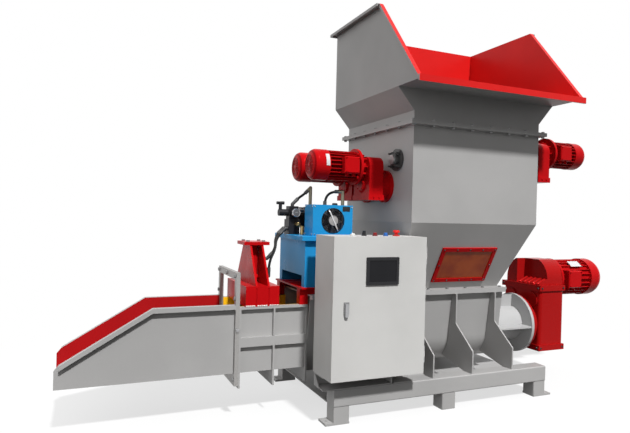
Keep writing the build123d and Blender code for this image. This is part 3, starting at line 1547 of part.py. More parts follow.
bearing_end = bearing_length + rotor_end_reach
lower_left_x = box_left_x - gear_shaft_depth
lower_right_x = box_right_x + bearing_end
write("front_rotor", rotor(-lower_rotor_y, lower_rotor_z, lower_left_x, lower_right_x, 0))
write("rear_rotor", rotor(lower_rotor_y, lower_rotor_z, lower_left_x, lower_right_x, 180 / rotor_claw_count))
upper_right_x = box_right_x + gear_shaft_depth
write("upper_rotor", rotor(upper_rotor_y, upper_rotor_z, box_left_x - bearing_end, upper_right_x, 0))
write("rotor_bearings", on_right_wall(shaft_bearing(), -lower_rotor_y, lower_rotor_z),
      on_right_wall(shaft_bearing(), lower_rotor_y, lower_rotor_z),
      on_left_wall(shaft_bearing(), upper_rotor_y, upper_rotor_z))
drive_motor = crusher_motor_place() * crusher_motor()
write("front_gear_case", on_left_wall(gear_case(), -lower_rotor_y, lower_rotor_z))
write("front_motor", on_left_wall(drive_motor, -lower_rotor_y, lower_rotor_z))
write("rear_gear_case", on_left_wall(gear_case(), lower_rotor_y, lower_rotor_z))
write("rear_motor", on_left_wall(drive_motor, lower_rotor_y, lower_rotor_z))
write("upper_gear_case", on_right_wall(gear_case(), upper_rotor_y, upper_rotor_z))
write("upper_motor", on_right_wall(drive_motor, upper_rotor_y, upper_rotor_z))
write("main_gear_case", main_gear_case())
write("main_motor", main_motor())

write("press_channel", press_channel() + channel_ribs())
write("channel_liners", channel_liner(-1), channel_liner(1))
write("portal_frame", portal_frame())
write("discharge_chute", discharge_chute())
write("press_tower", press_tower())
write("press_cylinder", press_cylinder())
write("press_ram", press_ram())

write("tank_stand", tank_stand())
write("oil_tank", oil_tank())
write("tank_lid", tank_lid())
write("cooler_housing", cooler_housing())
write("cooler_core", cooler_core())
write("cooler_fan", cooler_fan())
write("fan_guard", fan_guard())
write("valve_stack", valve_stack() + pressure_gauge())
write("hose_fittings", *hose_fittings())
write("pump_motor", pump_motor() + hydraulic_pump())
write("press_hose_low", hose("press_hose_low", press_hose_low_corners))
write("press_hose_high", hose("press_hose_high", press_hose_high_corners))
write("valve_hose", hose("valve_hose", valve_hose_corners))
write("cooler_hose", hose("cooler_hose", cooler_hose_corners))

write("cabinet_body", cabinet_body())
write("cabinet_door", cabinet_door())
write("door_hinges", *door_hinges())
write("latch_plate", latch_plate())
write("latch_lever", latch_lever())
write("panel_bezel", panel_bezel_piece())
write("panel_glass", panel_glass())
rib_gap = rib_thickness / 2 + rib_cabinet_gap
write("cabinet_brackets", cabinet_bracket(cabinet_left_x, rib_first_x - rib_gap),
      cabinet_bracket(rib_first_x + rib_gap, cabinet_right_x - bracket_right_inset))
write("switchgear", mounting_plate(), *switchgear())
write("device_collars", *[device_collar(name) for name in device_names])
write("signal_lamp", signal_lamp())
write("selector_knob", selector_knob())
write("stop_button", device_head("stop"))
write("start_button", device_head("start"))
write("emergency_stop", emergency_stop())
write("flange_bolts", *flange_bolts())
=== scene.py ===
import bpy
import math
from mathutils import Matrix, Vector


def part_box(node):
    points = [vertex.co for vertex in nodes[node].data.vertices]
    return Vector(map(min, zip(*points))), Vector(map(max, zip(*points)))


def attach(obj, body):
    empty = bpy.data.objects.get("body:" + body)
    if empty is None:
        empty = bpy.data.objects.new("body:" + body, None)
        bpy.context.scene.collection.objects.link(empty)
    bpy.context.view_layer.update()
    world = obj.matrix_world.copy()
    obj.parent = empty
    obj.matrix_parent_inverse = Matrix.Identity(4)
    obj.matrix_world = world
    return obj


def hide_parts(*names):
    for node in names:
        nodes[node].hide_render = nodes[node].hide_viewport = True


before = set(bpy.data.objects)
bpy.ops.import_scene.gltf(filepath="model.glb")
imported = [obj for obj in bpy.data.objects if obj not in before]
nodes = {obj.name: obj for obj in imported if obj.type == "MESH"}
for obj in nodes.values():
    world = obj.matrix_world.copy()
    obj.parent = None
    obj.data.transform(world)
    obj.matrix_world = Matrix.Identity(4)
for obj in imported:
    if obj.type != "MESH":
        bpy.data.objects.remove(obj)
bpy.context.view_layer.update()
print("frame loaded:", len(nodes), "nodes")

scene = bpy.context.scene
scene.view_settings.view_transform = "Standard"

# camera

view = {"eye": (-2.1285, -3.2507, 1.2012), "yaw": 23.193, "pitch": -0.3465, "roll": 1.449, "lens": 31.0526,
        "reach": 200}

yaw, pitch, roll = (math.radians(view[key]) for key in ("yaw", "pitch", "roll"))
ahead = Vector((math.sin(yaw) * math.cos(pitch), math.cos(yaw) * math.cos(pitch), math.sin(pitch)))
level = Vector((math.cos(yaw), -math.sin(yaw), 0))
upright = level.cross(ahead)
right = math.cos(roll) * level + math.sin(roll) * upright
upward = math.cos(roll) * upright - math.sin(roll) * level
camera = bpy.data.objects.new("camera", bpy.data.cameras.new("camera"))
scene.collection.objects.link(camera)
camera.data.lens = view["lens"]
camera.data.clip_end = view["reach"]
turned = Matrix((right, upward, -ahead)).transposed().to_4x4()
camera.matrix_world = Matrix.Translation(view["eye"]) @ turned
scene.camera = camera


class Tone:  # a shader socket that can be added, multiplied and so on
    def __init__(self, tree, socket=None):
        self.tree = tree
        self.socket = socket

    def make(self, kind, settings=None, inputs=None, out=0):
        node = self.tree.nodes.new(kind)
        for key, value in (settings or {}).items():
            setattr(node, key, value)
        for key, value in (inputs or {}).items():
            if isinstance(value, Tone):
                self.tree.links.new(value.socket, node.inputs[key])
            else:
                node.inputs[key].default_value = value
        return Tone(self.tree, node.outputs[out])

    def math(self, operation, *values):
        return self.make("ShaderNodeMath", {"operation": operation}, dict(enumerate(values)))

    def __add__(self, other):
        return self.math("ADD", self, other)

    __radd__ = __add__

    def __mul__(self, other):
        return self.math("MULTIPLY", self, other)

    __rmul__ = __mul__

    def __sub__(self, other):
        return self.math("SUBTRACT", self, other)

    def __rsub__(self, other):
        return self.math("SUBTRACT", other, self)

    def __gt__(self, other):
        return self.math("GREATER_THAN", self, other)

    def __lt__(self, other):
        return self.math("LESS_THAN", self, other)

    def span(self, low, high):  # from 0 at low to 1 at high, smooth between
        smooth = {"interpolation_type": "SMOOTHSTEP"}
        return self.make("ShaderNodeMapRange", smooth, {0: self, 1: low, 2: high})

    def within(self, low, high):  # 1 between the two, 0 outside
        return (self > low) * (self < high)

    def noise(self, scale, detail=2.0):
        return self.make("ShaderNodeTexNoise", {}, {"Vector": self, "Scale": scale, "Detail": detail})

    def blend(self, dark, light):  # a colour mix by this value
        return self.make("ShaderNodeMix", {"data_type": "RGBA"}, {0: self, 6: dark, 7: light}, 2)

    def axes(self):
        node = self.make("ShaderNodeSeparateXYZ", {}, {0: self}).socket.node
        return [Tone(self.tree, output) for output in node.outputs]

    def facing(self):  # the way the surface looks, from the node that gives its place
        return Tone(self.tree, self.socket.node.outputs["Normal"])


def startFinish(name):
    finish = bpy.data.materials.new(name)
    finish.use_nodes = True
    tree = finish.node_tree
    shader = tree.nodes["Principled BSDF"]
    place = Tone(tree).make("ShaderNodeTexCoord", {}, {}, "Object")
    return finish, shader, place


def feed(shader, name, value):
    if isinstance(value, Tone):
        value.tree.links.new(value.socket, shader.inputs[name])
    else:
        shader.inputs[name].default_value = value


def shaded(colour, factor):
    return (*[min(1.0, part * factor) for part in colour[:3]], 1.0)


def ripple(shader, height, strength, distance):
    bump = height.make("ShaderNodeBump", {}, {"Strength": strength, "Distance": distance, "Height": height})
    feed(shader, "Normal", bump)


paintLook = {"cloud": 2.3, "sway": 0.05, "fine": 160.0, "speck": 0.08, "speckTone": 0.75, "smear": 5.0,
             "smearRough": 0.12, "tint": 0.9, "peelDepth": 0.001}


def paintColour(place, colour):
    cloud = place.noise(paintLook["cloud"], 3.0).span(0.3, 0.7)
    fine = place.noise(paintLook["fine"]).span(0.25, 0.75)
    base = cloud.blend(shaded(colour, 1 - paintLook["sway"]), shaded(colour, 1 + paintLook["sway"]))
    return (fine * paintLook["speck"]).blend(base, shaded(colour, paintLook["speckTone"]))


def paintShine(shader, place, colour, shine, peel, peelScale):  # tinted gloss and a little orange peel
    feed(shader, "Specular IOR Level", shine)
    feed(shader, "Specular Tint", shaded(colour, paintLook["tint"] / max(colour)))
    ripple(shader, place.noise(peelScale, 1.0), peel, paintLook["peelDepth"])


def paintFinish(name, colour, rough=0.4, shine=0.5, peel=0.1, peelScale=420.0):
    finish, shader, place = startFinish(name)
    feed(shader, "Base Color", paintColour(place, colour))
    smear = place.noise(paintLook["smear"], 4.0).span(0.3, 0.7)
    spread = paintLook["smearRough"]
    feed(shader, "Roughness", smear * spread + (rough - spread / 2))
    paintShine(shader, place, colour, shine, peel, peelScale)
    return finish


metalLook = {"grain": 220.0, "dark": 0.86, "light": 1.08, "spread": 0.2, "scratch": 0.1, "depth": 0.0006}


def metalFinish(name, colour, rough=0.3, metal=1.0):
    finish, shader, place = startFinish(name)
    grain = place.noise(metalLook["grain"], 3.0)
    dark, light = shaded(colour, metalLook["dark"]), shaded(colour, metalLook["light"])
    feed(shader, "Base Color", grain.span(0.2, 0.8).blend(dark, light))
    feed(shader, "Roughness", grain * metalLook["spread"] + (rough - metalLook["spread"] / 2))
    feed(shader, "Metallic", metal)
    ripple(shader, grain, metalLook["scratch"], metalLook["depth"])
    return finish


plasticLook = {"cloud": 40.0, "dark": 0.93, "light": 1.06, "smear": 14.0, "spread": 0.14, "shine": 0.22,
               "bump": 0.08, "depth": 0.0006}


def plasticFinish(name, colour, rough=0.45, grain=700.0):
    finish, shader, place = startFinish(name)
    dark, light = shaded(colour, plasticLook["dark"]), shaded(colour, plasticLook["light"])
    feed(shader, "Base Color", place.noise(plasticLook["cloud"]).span(0.3, 0.7).blend(dark, light))
    spread = plasticLook["spread"]
    feed(shader, "Roughness", place.noise(plasticLook["smear"]) * spread + (rough - spread / 2))
    feed(shader, "Specular IOR Level", plasticLook["shine"])
    ripple(shader, place.noise(grain, 1.0), plasticLook["bump"], plasticLook["depth"])
    return finish


paint = {"grey": (0.375, 0.37, 0.365), "red": (0.47, 0.005, 0.007), "drive": (0.37, 0.007, 0.007),
         "blue": (0.018, 0.25, 0.54), "cabinet": (0.56, 0.555, 0.54), "black": (0.016, 0.016, 0.018),
         "recess": (0.24, 0.003, 0.005), "drum": (0.46, 0.46, 0.46), "plate": (0.6, 0.6, 0.61),
         "hopper": (0.66, 0.012, 0.011), "chute": (0.4, 0.009, 0.011)}

greyPaint = paintFinish("greyPaint", paint["grey"], 0.42, 0.35)
redPaint = paintFinish("redPaint", paint["red"], 0.3, 0.1, 0.1, 260.0)
bluePaint = paintFinish("bluePaint", paint["blue"], 0.3, 0.14)
cabinetPaint = paintFinish("cabinetPaint", paint["cabinet"], 0.5, 0.35, 0.16, 900.0)
blackPaint = paintFinish("blackPaint", paint["black"], 0.4, 0.22)
# the hood ribs and the main gear case use a darker copy of the red, as painted shade on the right of the
# machine
castPaint = paintFinish("castPaint", paint["drive"], 0.18, 0.4, 0.1, 260.0)
drivePaint = paintFinish("drivePaint", paint["drive"], 0.28, 0.14, 0.1, 260.0)
# the recess red is the cover's red darkened as painted shade, for the dark seen through the grille
recessShadePaint = paintFinish("recessShadePaint", paint["recess"], 0.4, 0.12)
drumPaint = paintFinish("drumPaint", paint["drum"], 0.42, 0.35)
platePaint = paintFinish("platePaint", paint["plate"], 0.35, 0.5)

sheetLook = {"grey": 0.42, "red": 0.32, "shine": 0.16, "peel": 0.1, "peelScale": 420.0}


def twoTone(name, inside, tone):  # grey outside, red on the faces that the mask picks
    finish, shader, place = startFinish(name)
    mask = inside(place.axes(), place.facing().axes())
    grey = paintColour(place, paint["grey"])
    red = paintColour(place, tone)
    feed(shader, "Base Color", mask.blend(grey, red))
    feed(shader, "Roughness", mask * (sheetLook["red"] - sheetLook["grey"]) + sheetLook["grey"])
    feed(shader, "Specular IOR Level", sheetLook["shine"])
    ripple(shader, place.noise(sheetLook["peelScale"], 1.0), sheetLook["peel"], paintLook["peelDepth"])
    return finish


# where the red of the sheets' inner sides begins and ends
hopperRed = {"left": (-0.4, -0.27), "right": (0.7, 0.832), "back": (0.425, 0.4365), "up": 1.81, "lip": -0.683,
             "neckX": (-0.2785, 0.7105), "neckY": 0.4345, "neckZ": (1.783, 1.99)}
chuteRed = {"side": 0.187, "floor": 0.275}


def hopperInside(place, facing):
    x, y, z = place
    nx, ny, nz = facing
    left = (nx > 0.6) * x.within(*hopperRed["left"])
    farSide = (nx < -0.6) * x.within(*hopperRed["right"])
    back = (ny < -0.7) * y.within(*hopperRed["back"])
    upFaces = (nz > 0.15) * (z > hopperRed["up"])
    lip = (ny < -0.7) * (y < hopperRed["lip"])
    across = x.within(*hopperRed["neckX"]) * y.within(-hopperRed["neckY"], hopperRed["neckY"])
    neck = across * z.within(*hopperRed["neckZ"]) * (nz < 0.1)
    return (left + farSide + back + upFaces + lip + neck) > 0.5


def chuteInside(place, facing):
    x, y, z = place
    nx, ny, nz = facing
    front = (ny > 0.7) * y.within(-chuteRed["side"], 0)
    rear = (ny < -0.7) * y.within(0, chuteRed["side"])
    floor = (nz > 0.9) * (z < chuteRed["floor"])
    return (front + rear + floor) > 0.5


# the hopper's inner red is a lighter copy of the red paint, as painted light; the chute's is a darker copy,
# as painted shade
hopperPaint = twoTone("hopperPaint", hopperInside, paint["hopper"])
chutePaint = twoTone("chutePaint", chuteInside, paint["chute"])

steel = metalFinish("steel", (0.42, 0.42, 0.42), 0.42, 0.9)
portalSteel = metalFinish("portalSteel", (0.36, 0.35, 0.34), 0.48, 0.6)
chrome = metalFinish("chrome", (0.72, 0.72, 0.73), 0.2)
zinc = metalFinish("zinc", (0.42, 0.42, 0.43), 0.4)
boltMetal = metalFinish("boltMetal", (0.24, 0.24, 0.24), 0.5, 0.5)
darkMetal = metalFinish("darkMetal", (0.1, 0.1, 0.1), 0.42, 0.7)
palePlastic = plasticFinish("palePlastic", (0.3, 0.29, 0.285), 0.45)
greyDial = plasticFinish("greyDial", (0.11, 0.11, 0.115), 0.3)
weldMetal = metalFinish("weldMetal", (0.62, 0.61, 0.59), 0.45, 0.8)
brass = metalFinish("brass", (0.5, 0.37, 0.17), 0.32)
aluminium = metalFinish("aluminium", (0.55, 0.56, 0.57), 0.4)
yellowPlastic = plasticFinish("yellowPlastic", (0.9, 0.5, 0.01), 0.4)
blackPlastic = plasticFinish("blackPlastic", (0.018, 0.018, 0.02), 0.42)
greyPlastic = plasticFinish("greyPlastic", (0.32, 0.33, 0.34), 0.5)
whitePlastic = plasticFinish("whitePlastic", (0.75, 0.75, 0.72), 0.3)
darkRedPlastic = plasticFinish("darkRedPlastic", (0.22, 0.015, 0.015), 0.3)
bluePlastic = plasticFinish("bluePlastic", (0.03, 0.13, 0.42), 0.3)
redPlastic = plasticFinish("redPlastic", (0.7, 0.02, 0.015), 0.3)
rubber = plasticFinish("rubber", (0.014, 0.014, 0.015), 0.5, 300.0)

amber = {"dark": (0.32, 0.038, 0.003, 1), "light": (0.44, 0.075, 0.008, 1), "haze": 9.0, "rough": 0.14,
         "spread": 0.1, "clear": 0.1, "shine": 0.12}


def amberFinish():
    finish, shader, place = startFinish("amberPane")
    haze = place.noise(amber["haze"], 3.0)
    feed(shader, "Base Color", haze.span(0.3, 0.7).blend(amber["dark"], amber["light"]))
    feed(shader, "Roughness", haze * amber["spread"] + amber["rough"])
    feed(shader, "Transmission Weight", amber["clear"])
    feed(shader, "Specular IOR Level", amber["shine"])
    return finish


screen = {"dark": (0.01, 0.01, 0.012, 1), "light": (0.02, 0.02, 0.022, 1), "cloud": 6.0, "smear": 11.0,
          "rough": 0.16, "spread": 0.08, "shine": 0.1}


def screenFinish():
    finish, shader, place = startFinish("screenGlass")
    feed(shader, "Base Color", place.noise(screen["cloud"], 1.0).blend(screen["dark"], screen["light"]))
    feed(shader, "Roughness", place.noise(screen["smear"]) * screen["spread"] + screen["rough"])
    feed(shader, "Specular IOR Level", screen["shine"])
    return finish


# right edge of each collar with its tone, from the left, then the last collar's tone
collars = {"tones": ((-0.661, (0.6, 0.6, 0.58, 1)), (-0.589, (0.02, 0.02, 0.022, 1)),
                     (-0.517, (0.16, 0.012, 0.014, 1)), (-0.445, (0.03, 0.13, 0.4, 1))),
           "last": (0.5, 0.03, 0.02, 1), "dirt": (0.02, 0.02, 0.02, 1), "dirtScale": 60.0, "dirtShare": 0.2,
           "smear": 14.0, "rough": 0.3, "spread": 0.14}


def collarFinish():
    finish, shader, place = startFinish("collarPlastic")
    across = place.axes()[0]
    tone = collars["last"]
    for edge, colour in reversed(collars["tones"]):
        tone = (across < edge).blend(tone, colour)
    dirt = place.noise(collars["dirtScale"]) * collars["dirtShare"]
    feed(shader, "Base Color", dirt.blend(tone, collars["dirt"]))
    feed(shader, "Roughness", place.noise(collars["smear"]) * collars["spread"] + collars["rough"])
    return finish


# blackened elbows left of the edge, yellow passivated pipes right of it
fittings = {"edge": -0.8, "dark": (0.03, 0.03, 0.032, 1), "khaki": (0.26, 0.235, 0.17, 1),
            "dirt": (0.05, 0.05, 0.05, 1), "dirtScale": 120.0, "dirtShare": 0.3, "smear": 30.0, "rough": 0.34,
            "spread": 0.16, "metal": 0.9}


def fittingFinish():
    finish, shader, place = startFinish("fittingMetal")
    right = place.axes()[0] > fittings["edge"]
    tone = right.blend(fittings["dark"], fittings["khaki"])
    dirt = place.noise(fittings["dirtScale"]) * fittings["dirtShare"]
    feed(shader, "Base Color", dirt.blend(tone, fittings["dirt"]))
    feed(shader, "Roughness", place.noise(fittings["smear"]) * fittings["spread"] + fittings["rough"])
    feed(shader, "Metallic", right * fittings["metal"])
    return finish


fittingMetal = fittingFinish()
collarPlastic = collarFinish()
amberPane = amberFinish()
screenGlass = screenFinish()

dress = {
    greyPaint: ("base_rails", "legs", "screw_trough", "trough_ribs", "lower_hopper", "crusher_box",
                "press_channel", "cabinet_brackets"),
    drumPaint: ("bearing_drum",),
    hopperPaint: ("upper_hopper",),
    chutePaint: ("discharge_chute",),
    redPaint: ("window_frame", "front_gear_case", "rear_gear_case", "upper_gear_case",
               "press_tower", "press_cylinder", "tank_stand"),
    drivePaint: ("main_gear_case",),
    bluePaint: ("oil_tank", "tank_lid", "cooler_housing"),
    cabinetPaint: ("cabinet_body", "cabinet_door"),
    blackPaint: ("fan_guard", "valve_stack", "pump_motor"),
    darkMetal: ("rotor_bearings",),
    steel: ("auger", "front_rotor", "rear_rotor", "upper_rotor", "door_hinges"),
    portalSteel: ("portal_frame",),
    chrome: ("press_ram",),
    zinc: ("latch_lever",),
    collarPlastic: ("device_collars",),
    fittingMetal: ("hose_fittings",),
    boltMetal: ("flange_bolts", "latch_plate"),
    aluminium: ("cooler_core",),
    yellowPlastic: ("channel_liners",),
    blackPlastic: ("cooler_fan", "panel_bezel", "selector_knob"),
    greyPlastic: ("switchgear",),
    whitePlastic: ("signal_lamp",),
    darkRedPlastic: ("stop_button",),
    bluePlastic: ("start_button",),
    redPlastic: ("emergency_stop",),
    amberPane: ("window_pane",),
    screenGlass: ("panel_glass",),
    rubber: ("press_hose_low", "press_hose_high", "valve_hose", "cooler_hose"),
}
for finish, names in dress.items():
    for name in names:
        nodes[name].data.materials.clear()
        nodes[name].data.materials.append(finish)
print("finishes on", sum(len(names) for names in dress.values()), "nodes")


# hoses: the node each one stands for, its route and its length

hoseSize = 0.016
hoseRoutes = {
    "pressHoseLow": ("press_hose_low", [(-0.9501, 0.02, 1.0809), (-0.9925, 0.02, 1.0385),
                                        (-1.004, -0.008, 0.97), (-1.05, -0.02, 0.889),
                                        (-1.05, -0.02, 0.829)], 0.284),
    "pressHoseHigh": ("press_hose_high", [(-0.9501, 0.062, 1.0809), (-0.9869, 0.062, 1.0441),
                                          (-0.9941, 0.02, 0.9639), (-1.0309, 0.02, 0.9271)], 0.19),
    "valveHose": ("valve_hose", [(-0.8609, 0.04, 1.2751), (-0.8355, 0.04, 1.3005), (-0.8085, 0.02, 1.3215),
                                 (-0.7831, 0.02, 1.3469)], 0.11),
    "coolerHose": ("cooler_hose", [(-0.704, -0.08, 1.254), (-0.704, -0.08, 1.3), (-0.6685, -0.0988, 1.342),
                                   (-0.6279, -0.1204, 1.342)], 0.146)}


def layHose(name, node, route):
    line = bpy.data.curves.new(name, "CURVE")
    line.dimensions = "3D"
    run = line.splines.new("NURBS")
    run.points.add(len(route) - 1)
    for point, place in zip(run.points, route):
        point.co = (*place, 1)
    run.order_u = 3
    run.use_endpoint_u = True
    run.resolution_u = 10
    line.bevel_depth = hoseSize / 2
    line.bevel_resolution = 5
    line.use_fill_caps = True
    line.materials.append(rubber)
    hose = bpy.data.objects.new(name, line)
    scene.collection.objects.link(hose)
    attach(hose, "machine")
    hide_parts(node)


for name, (node, route, length) in hoseRoutes.items():
    layHose(name, node, route)
print("hoses laid:", len(hoseRoutes))


# shaping in edit mode

def clearPick():
    if bpy.context.object and bpy.context.object.mode != "OBJECT":
        bpy.ops.object.mode_set(mode="OBJECT")
    bpy.ops.object.select_all(action="DESELECT")


def pickFaces(piece, test):  # edit mode with only these faces picked
    bpy.ops.object.mode_set(mode="EDIT")
    bpy.ops.mesh.select_mode(type="FACE")
    bpy.ops.mesh.select_all(action="DESELECT")
    bpy.ops.object.mode_set(mode="OBJECT")
    for face in piece.data.polygons:
        face.select = bool(test(face))
    bpy.ops.object.mode_set(mode="EDIT")


def onTop(face):
    return face.normal.z > 0.9


def raiseTop(piece, height, grow=1.0):  # extrudes the top face and widens or narrows it
    pickFaces(piece, onTop)
    bpy.ops.mesh.extrude_region_move(TRANSFORM_OT_translate={"value": (0, 0, height)})
    bpy.ops.transform.resize(value=(grow, grow, 1))
    bpy.ops.object.mode_set(mode="OBJECT")


def roundTop(piece, width, steps=2):
    pickFaces(piece, onTop)
    bpy.ops.mesh.bevel(offset=width, segments=steps, affect="EDGES")
    bpy.ops.object.mode_set(mode="OBJECT")


def disc(radius, height, sides):  # stands on zero, along +Z
    clearPick()
    middle = (0, 0, height / 2)
    bpy.ops.mesh.primitive_cylinder_add(vertices=sides, radius=radius, depth=height, location=middle)
    bpy.ops.object.transform_apply(location=True)
    return bpy.context.object


def slab(length, width, height):  # stands on zero, along +Z
    clearPick()
    bpy.ops.mesh.primitive_cube_add(size=1, location=(0, 0, height / 2))
    piece = bpy.context.object
    piece.scale = (length, width, height)
    bpy.ops.object.transform_apply(location=True, scale=True)
    return piece


def addWall(sheet, thick):  # gives an open sheet its thickness, outwards
    wall = sheet.modifiers.new("wall", "SOLIDIFY")
    wall.thickness = thick
    wall.offset = 1
    bpy.ops.object.modifier_apply(modifier="wall")


def softenEdges(piece, width):
    edge = piece.modifiers.new("edge", "BEVEL")
    edge.width = width
    edge.segments = 2
    bpy.ops.object.modifier_apply(modifier="edge")


def settle(piece, name, finish, body="machine", angle=35):
    clearPick()
    piece.select_set(True)
    bpy.context.view_layer.objects.active = piece
    bpy.ops.object.transform_apply(location=True, rotation=True, scale=True)
    bpy.ops.object.shade_smooth_by_angle(angle=math.radians(angle))
    piece.name = name
    piece.data.name = name
    piece.data.materials.clear()
    piece.data.materials.append(finish)
    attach(piece, body)
    return piece


def strew(source, name, spots, finish, angle=35):  # a copy at each point and way, as one piece
    twins = []
    for point, way in spots:
        twin = source.copy()
        twin.data = source.data.copy()
        scene.collection.objects.link(twin)
        turn = Vector(way).to_track_quat("Z", "Y").to_matrix().to_4x4()
        twin.matrix_world = Matrix.Translation(point) @ turn
        twins.append(twin)
    clearPick()
    bpy.data.objects.remove(source)
    for twin in twins:
        twin.select_set(True)
    bpy.context.view_layer.objects.active = twins[0]
    if len(twins) > 1:
        bpy.ops.object.join()
    return settle(twins[0], name, finish, angle=angle)


def hexHead(width, height):
    head = disc(width / math.sqrt(3), height, 6)
    roundTop(head, width * 0.1)
    return head


def screwHead(width, height):
    head = disc(width / 2, height, 14)
    roundTop(head, height * 0.4)
    raiseTop(head, 0, 0.6)
    raiseTop(head, -height * 0.5, 0.9)  # hollow for the key
    return head


toFront, toBack, toLeft, toRight = (0, -1, 0), (0, 1, 0), (-1, 0, 0), (1, 0, 0)
toUp, toDown = (0, 0, 1), (0, 0, -1)


# hose ends

ferrule = {"size": 0.021, "length": 0.026, "ring": 0.0235, "ringLength": 0.006, "bands": 3, "crimp": 0.93}


def ferruleSpots():
    spots = []
    for node, route, length in hoseRoutes.values():
        for tip, beside in ((route[0], route[1]), (route[-1], route[-2])):
            spots.append((Vector(tip), (Vector(beside) - Vector(tip)).normalized()))
    return spots


def makeFerrule():
    sleeve = disc(ferrule["ring"] / 2, ferrule["ringLength"], 20)
    raiseTop(sleeve, 0, ferrule["size"] / ferrule["ring"])
    band = (ferrule["length"] - ferrule["ringLength"]) / ferrule["bands"]
    for step in range(ferrule["bands"]):  # each band ends in a crimped groove
        raiseTop(sleeve, band * 0.75)
        raiseTop(sleeve, band * 0.125, ferrule["crimp"])
        raiseTop(sleeve, band * 0.125, 1 / ferrule["crimp"])
    roundTop(sleeve, ferrule["size"] * 0.06)
    return sleeve


strew(makeFerrule(), "hoseFerrules", ferruleSpots(), darkMetal)


# motors: each has its axis along X, its case end and its fan end

smallMotor = {"flangeAt": 0.064, "boltRing": 0.102, "boltWidth": 0.017, "boltHeight": 0.01,
              "boxAt": 0.134, "boxHalf": 0.052, "boxFront": 0.134, "screwInset": 0.009, "screwWidth": 0.008,
              "glandWidth": 0.024, "recess": 0.0885, "flat": 0.062, "round": 0.036, "rings": 3,
              "ringWire": 0.0016, "spokes": 6, "finFrom": 0.066, "finTo": 0.262, "finRoot": 0.082,
              "finTip": 0.094, "finShade": 0.8}
bigMotor = {"flangeAt": 0.044, "boltRing": 0.137, "boltWidth": 0.019, "boltHeight": 0.011,
            "boxAt": 0.13, "boxHalf": 0.066, "boxFront": 0.182, "screwInset": 0.011, "screwWidth": 0.01,
            "glandWidth": 0.032, "recess": 0.13, "flat": 0.086, "round": 0.06, "rings": 4,
            "ringWire": 0.002, "spokes": 8, "finFrom": 0.046, "finTo": 0.342, "finRoot": 0.122,
            "finTip": 0.138, "finShade": 0.2}
motors = {"front_motor": (-1, smallMotor), "rear_motor": (-1, smallMotor), "upper_motor": (1, smallMotor),
          "main_motor": (1, bigMotor)}
# the dark tone is painted shade between the fins, where the light doesn't reach; it is rougher there too
fins = {"finShadeTone": (0.035, 0.002, 0.002, 1), "rough": 0.3, "spread": 0.3, "shine": 0.1, "peel": 0.1,
        "peelScale": 260.0}


def motorPlace(node):  # where the axis leaves the case, where it ends, and the way it points
    way, sizes = motors[node]
    low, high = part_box(node)
    half = (high.z - low.z) / 2
    axis = Vector((0, high.y - half, low.z + half))
    start, end = (low.x, high.x) if way > 0 else (high.x, low.x)
    return axis + Vector((start, 0, 0)), axis + Vector((end, 0, 0)), Vector((way, 0, 0))


def finnedFinish(node):  # red paint with painted shade deep between the fins
    way, sizes = motors[node]
    start = motorPlace(node)[0]
    finish, shader, place = startFinish(node + "Paint")
    x, y, z = place.axes()
    along = (x - start.x) * way
    y, z = y - start.y, z - start.z
    square = y * y + z * z
    finShadeMask = square.math("SQRT", square).span(sizes["finTip"], sizes["finRoot"])
    finShadeMask = finShadeMask * along.within(sizes["finFrom"], sizes["finTo"])
    red = paintColour(place, paint["red"])
    feed(shader, "Base Color", (finShadeMask * sizes["finShade"]).blend(red, fins["finShadeTone"]))
    feed(shader, "Roughness", finShadeMask * fins["spread"] + fins["rough"])
    paintShine(shader, place, paint["red"], fins["shine"], fins["peel"], fins["peelScale"])
    return finish


for node in motors:
    nodes[node].data.materials.clear()
    nodes[node].data.materials.append(finnedFinish(node))


def makeRecess(sizes):  # dished disc, dark as painted shade behind the grille, that follows the rounded end of the fan cover
    steps, thick = 5, 0.001
    reach = math.asin((sizes["recess"] - sizes["flat"]) / sizes["round"])
    turns = [reach * (steps - step) / steps for step in range(steps + 1)]
    radii = [sizes["flat"] + sizes["round"] * math.sin(turn) for turn in turns]
    drops = [sizes["round"] * (1 - math.cos(turn)) for turn in turns]
    skin = disc(radii[0], thick, 40)
    skin.location.z = -drops[0]
    clearPick()
    skin.select_set(True)
    bpy.ops.object.transform_apply(location=True)
    for before, after, high, low in zip(radii, radii[1:], drops, drops[1:]):
        raiseTop(skin, high - low, after / before)
    return skin


def makeGrille(sizes):  # rings on spokes over the recess
    wire = sizes["ringWire"]
    bars = []
    for index in range(sizes["rings"]):
        clearPick()
        radius = sizes["flat"] * (index + 1) / sizes["rings"]
        bpy.ops.mesh.primitive_torus_add(major_radius=radius, minor_radius=wire, major_segments=40,
                                         minor_segments=8, location=(0, 0, wire))
        bars.append(bpy.context.object)
    for index in range(sizes["spokes"]):
        bar = slab(sizes["flat"], wire * 2, wire * 1.6)
        roundTop(bar, wire * 0.4)
        bar.location.x = sizes["flat"] / 2
        clearPick()
        bar.select_set(True)
        bpy.ops.object.transform_apply(location=True)
        bar.rotation_euler.z = 2 * math.pi * index / sizes["spokes"]
        bars.append(bar)
    boss = disc(sizes["flat"] * 0.22, wire * 1.8, 24)
    roundTop(boss, wire * 0.6)
    bars.append(boss)
    clearPick()
    for bar in bars:
        bar.select_set(True)
    bpy.context.view_layer.objects.active = boss
    bpy.ops.object.join()
    bpy.ops.object.transform_apply(location=True, rotation=True, scale=True)
    return boss


def makeGland(width):  # hex body, neck and cap of a cable entry
    gland = disc(width / 2, width * 0.35, 6)
    roundTop(gland, width * 0.05)
    raiseTop(gland, 0, 0.8)
    raiseTop(gland, width * 0.3)
    raiseTop(gland, 0, 0.62)
    raiseTop(gland, width * 0.22, 0.85)
    roundTop(gland, width * 0.08)
    return gland


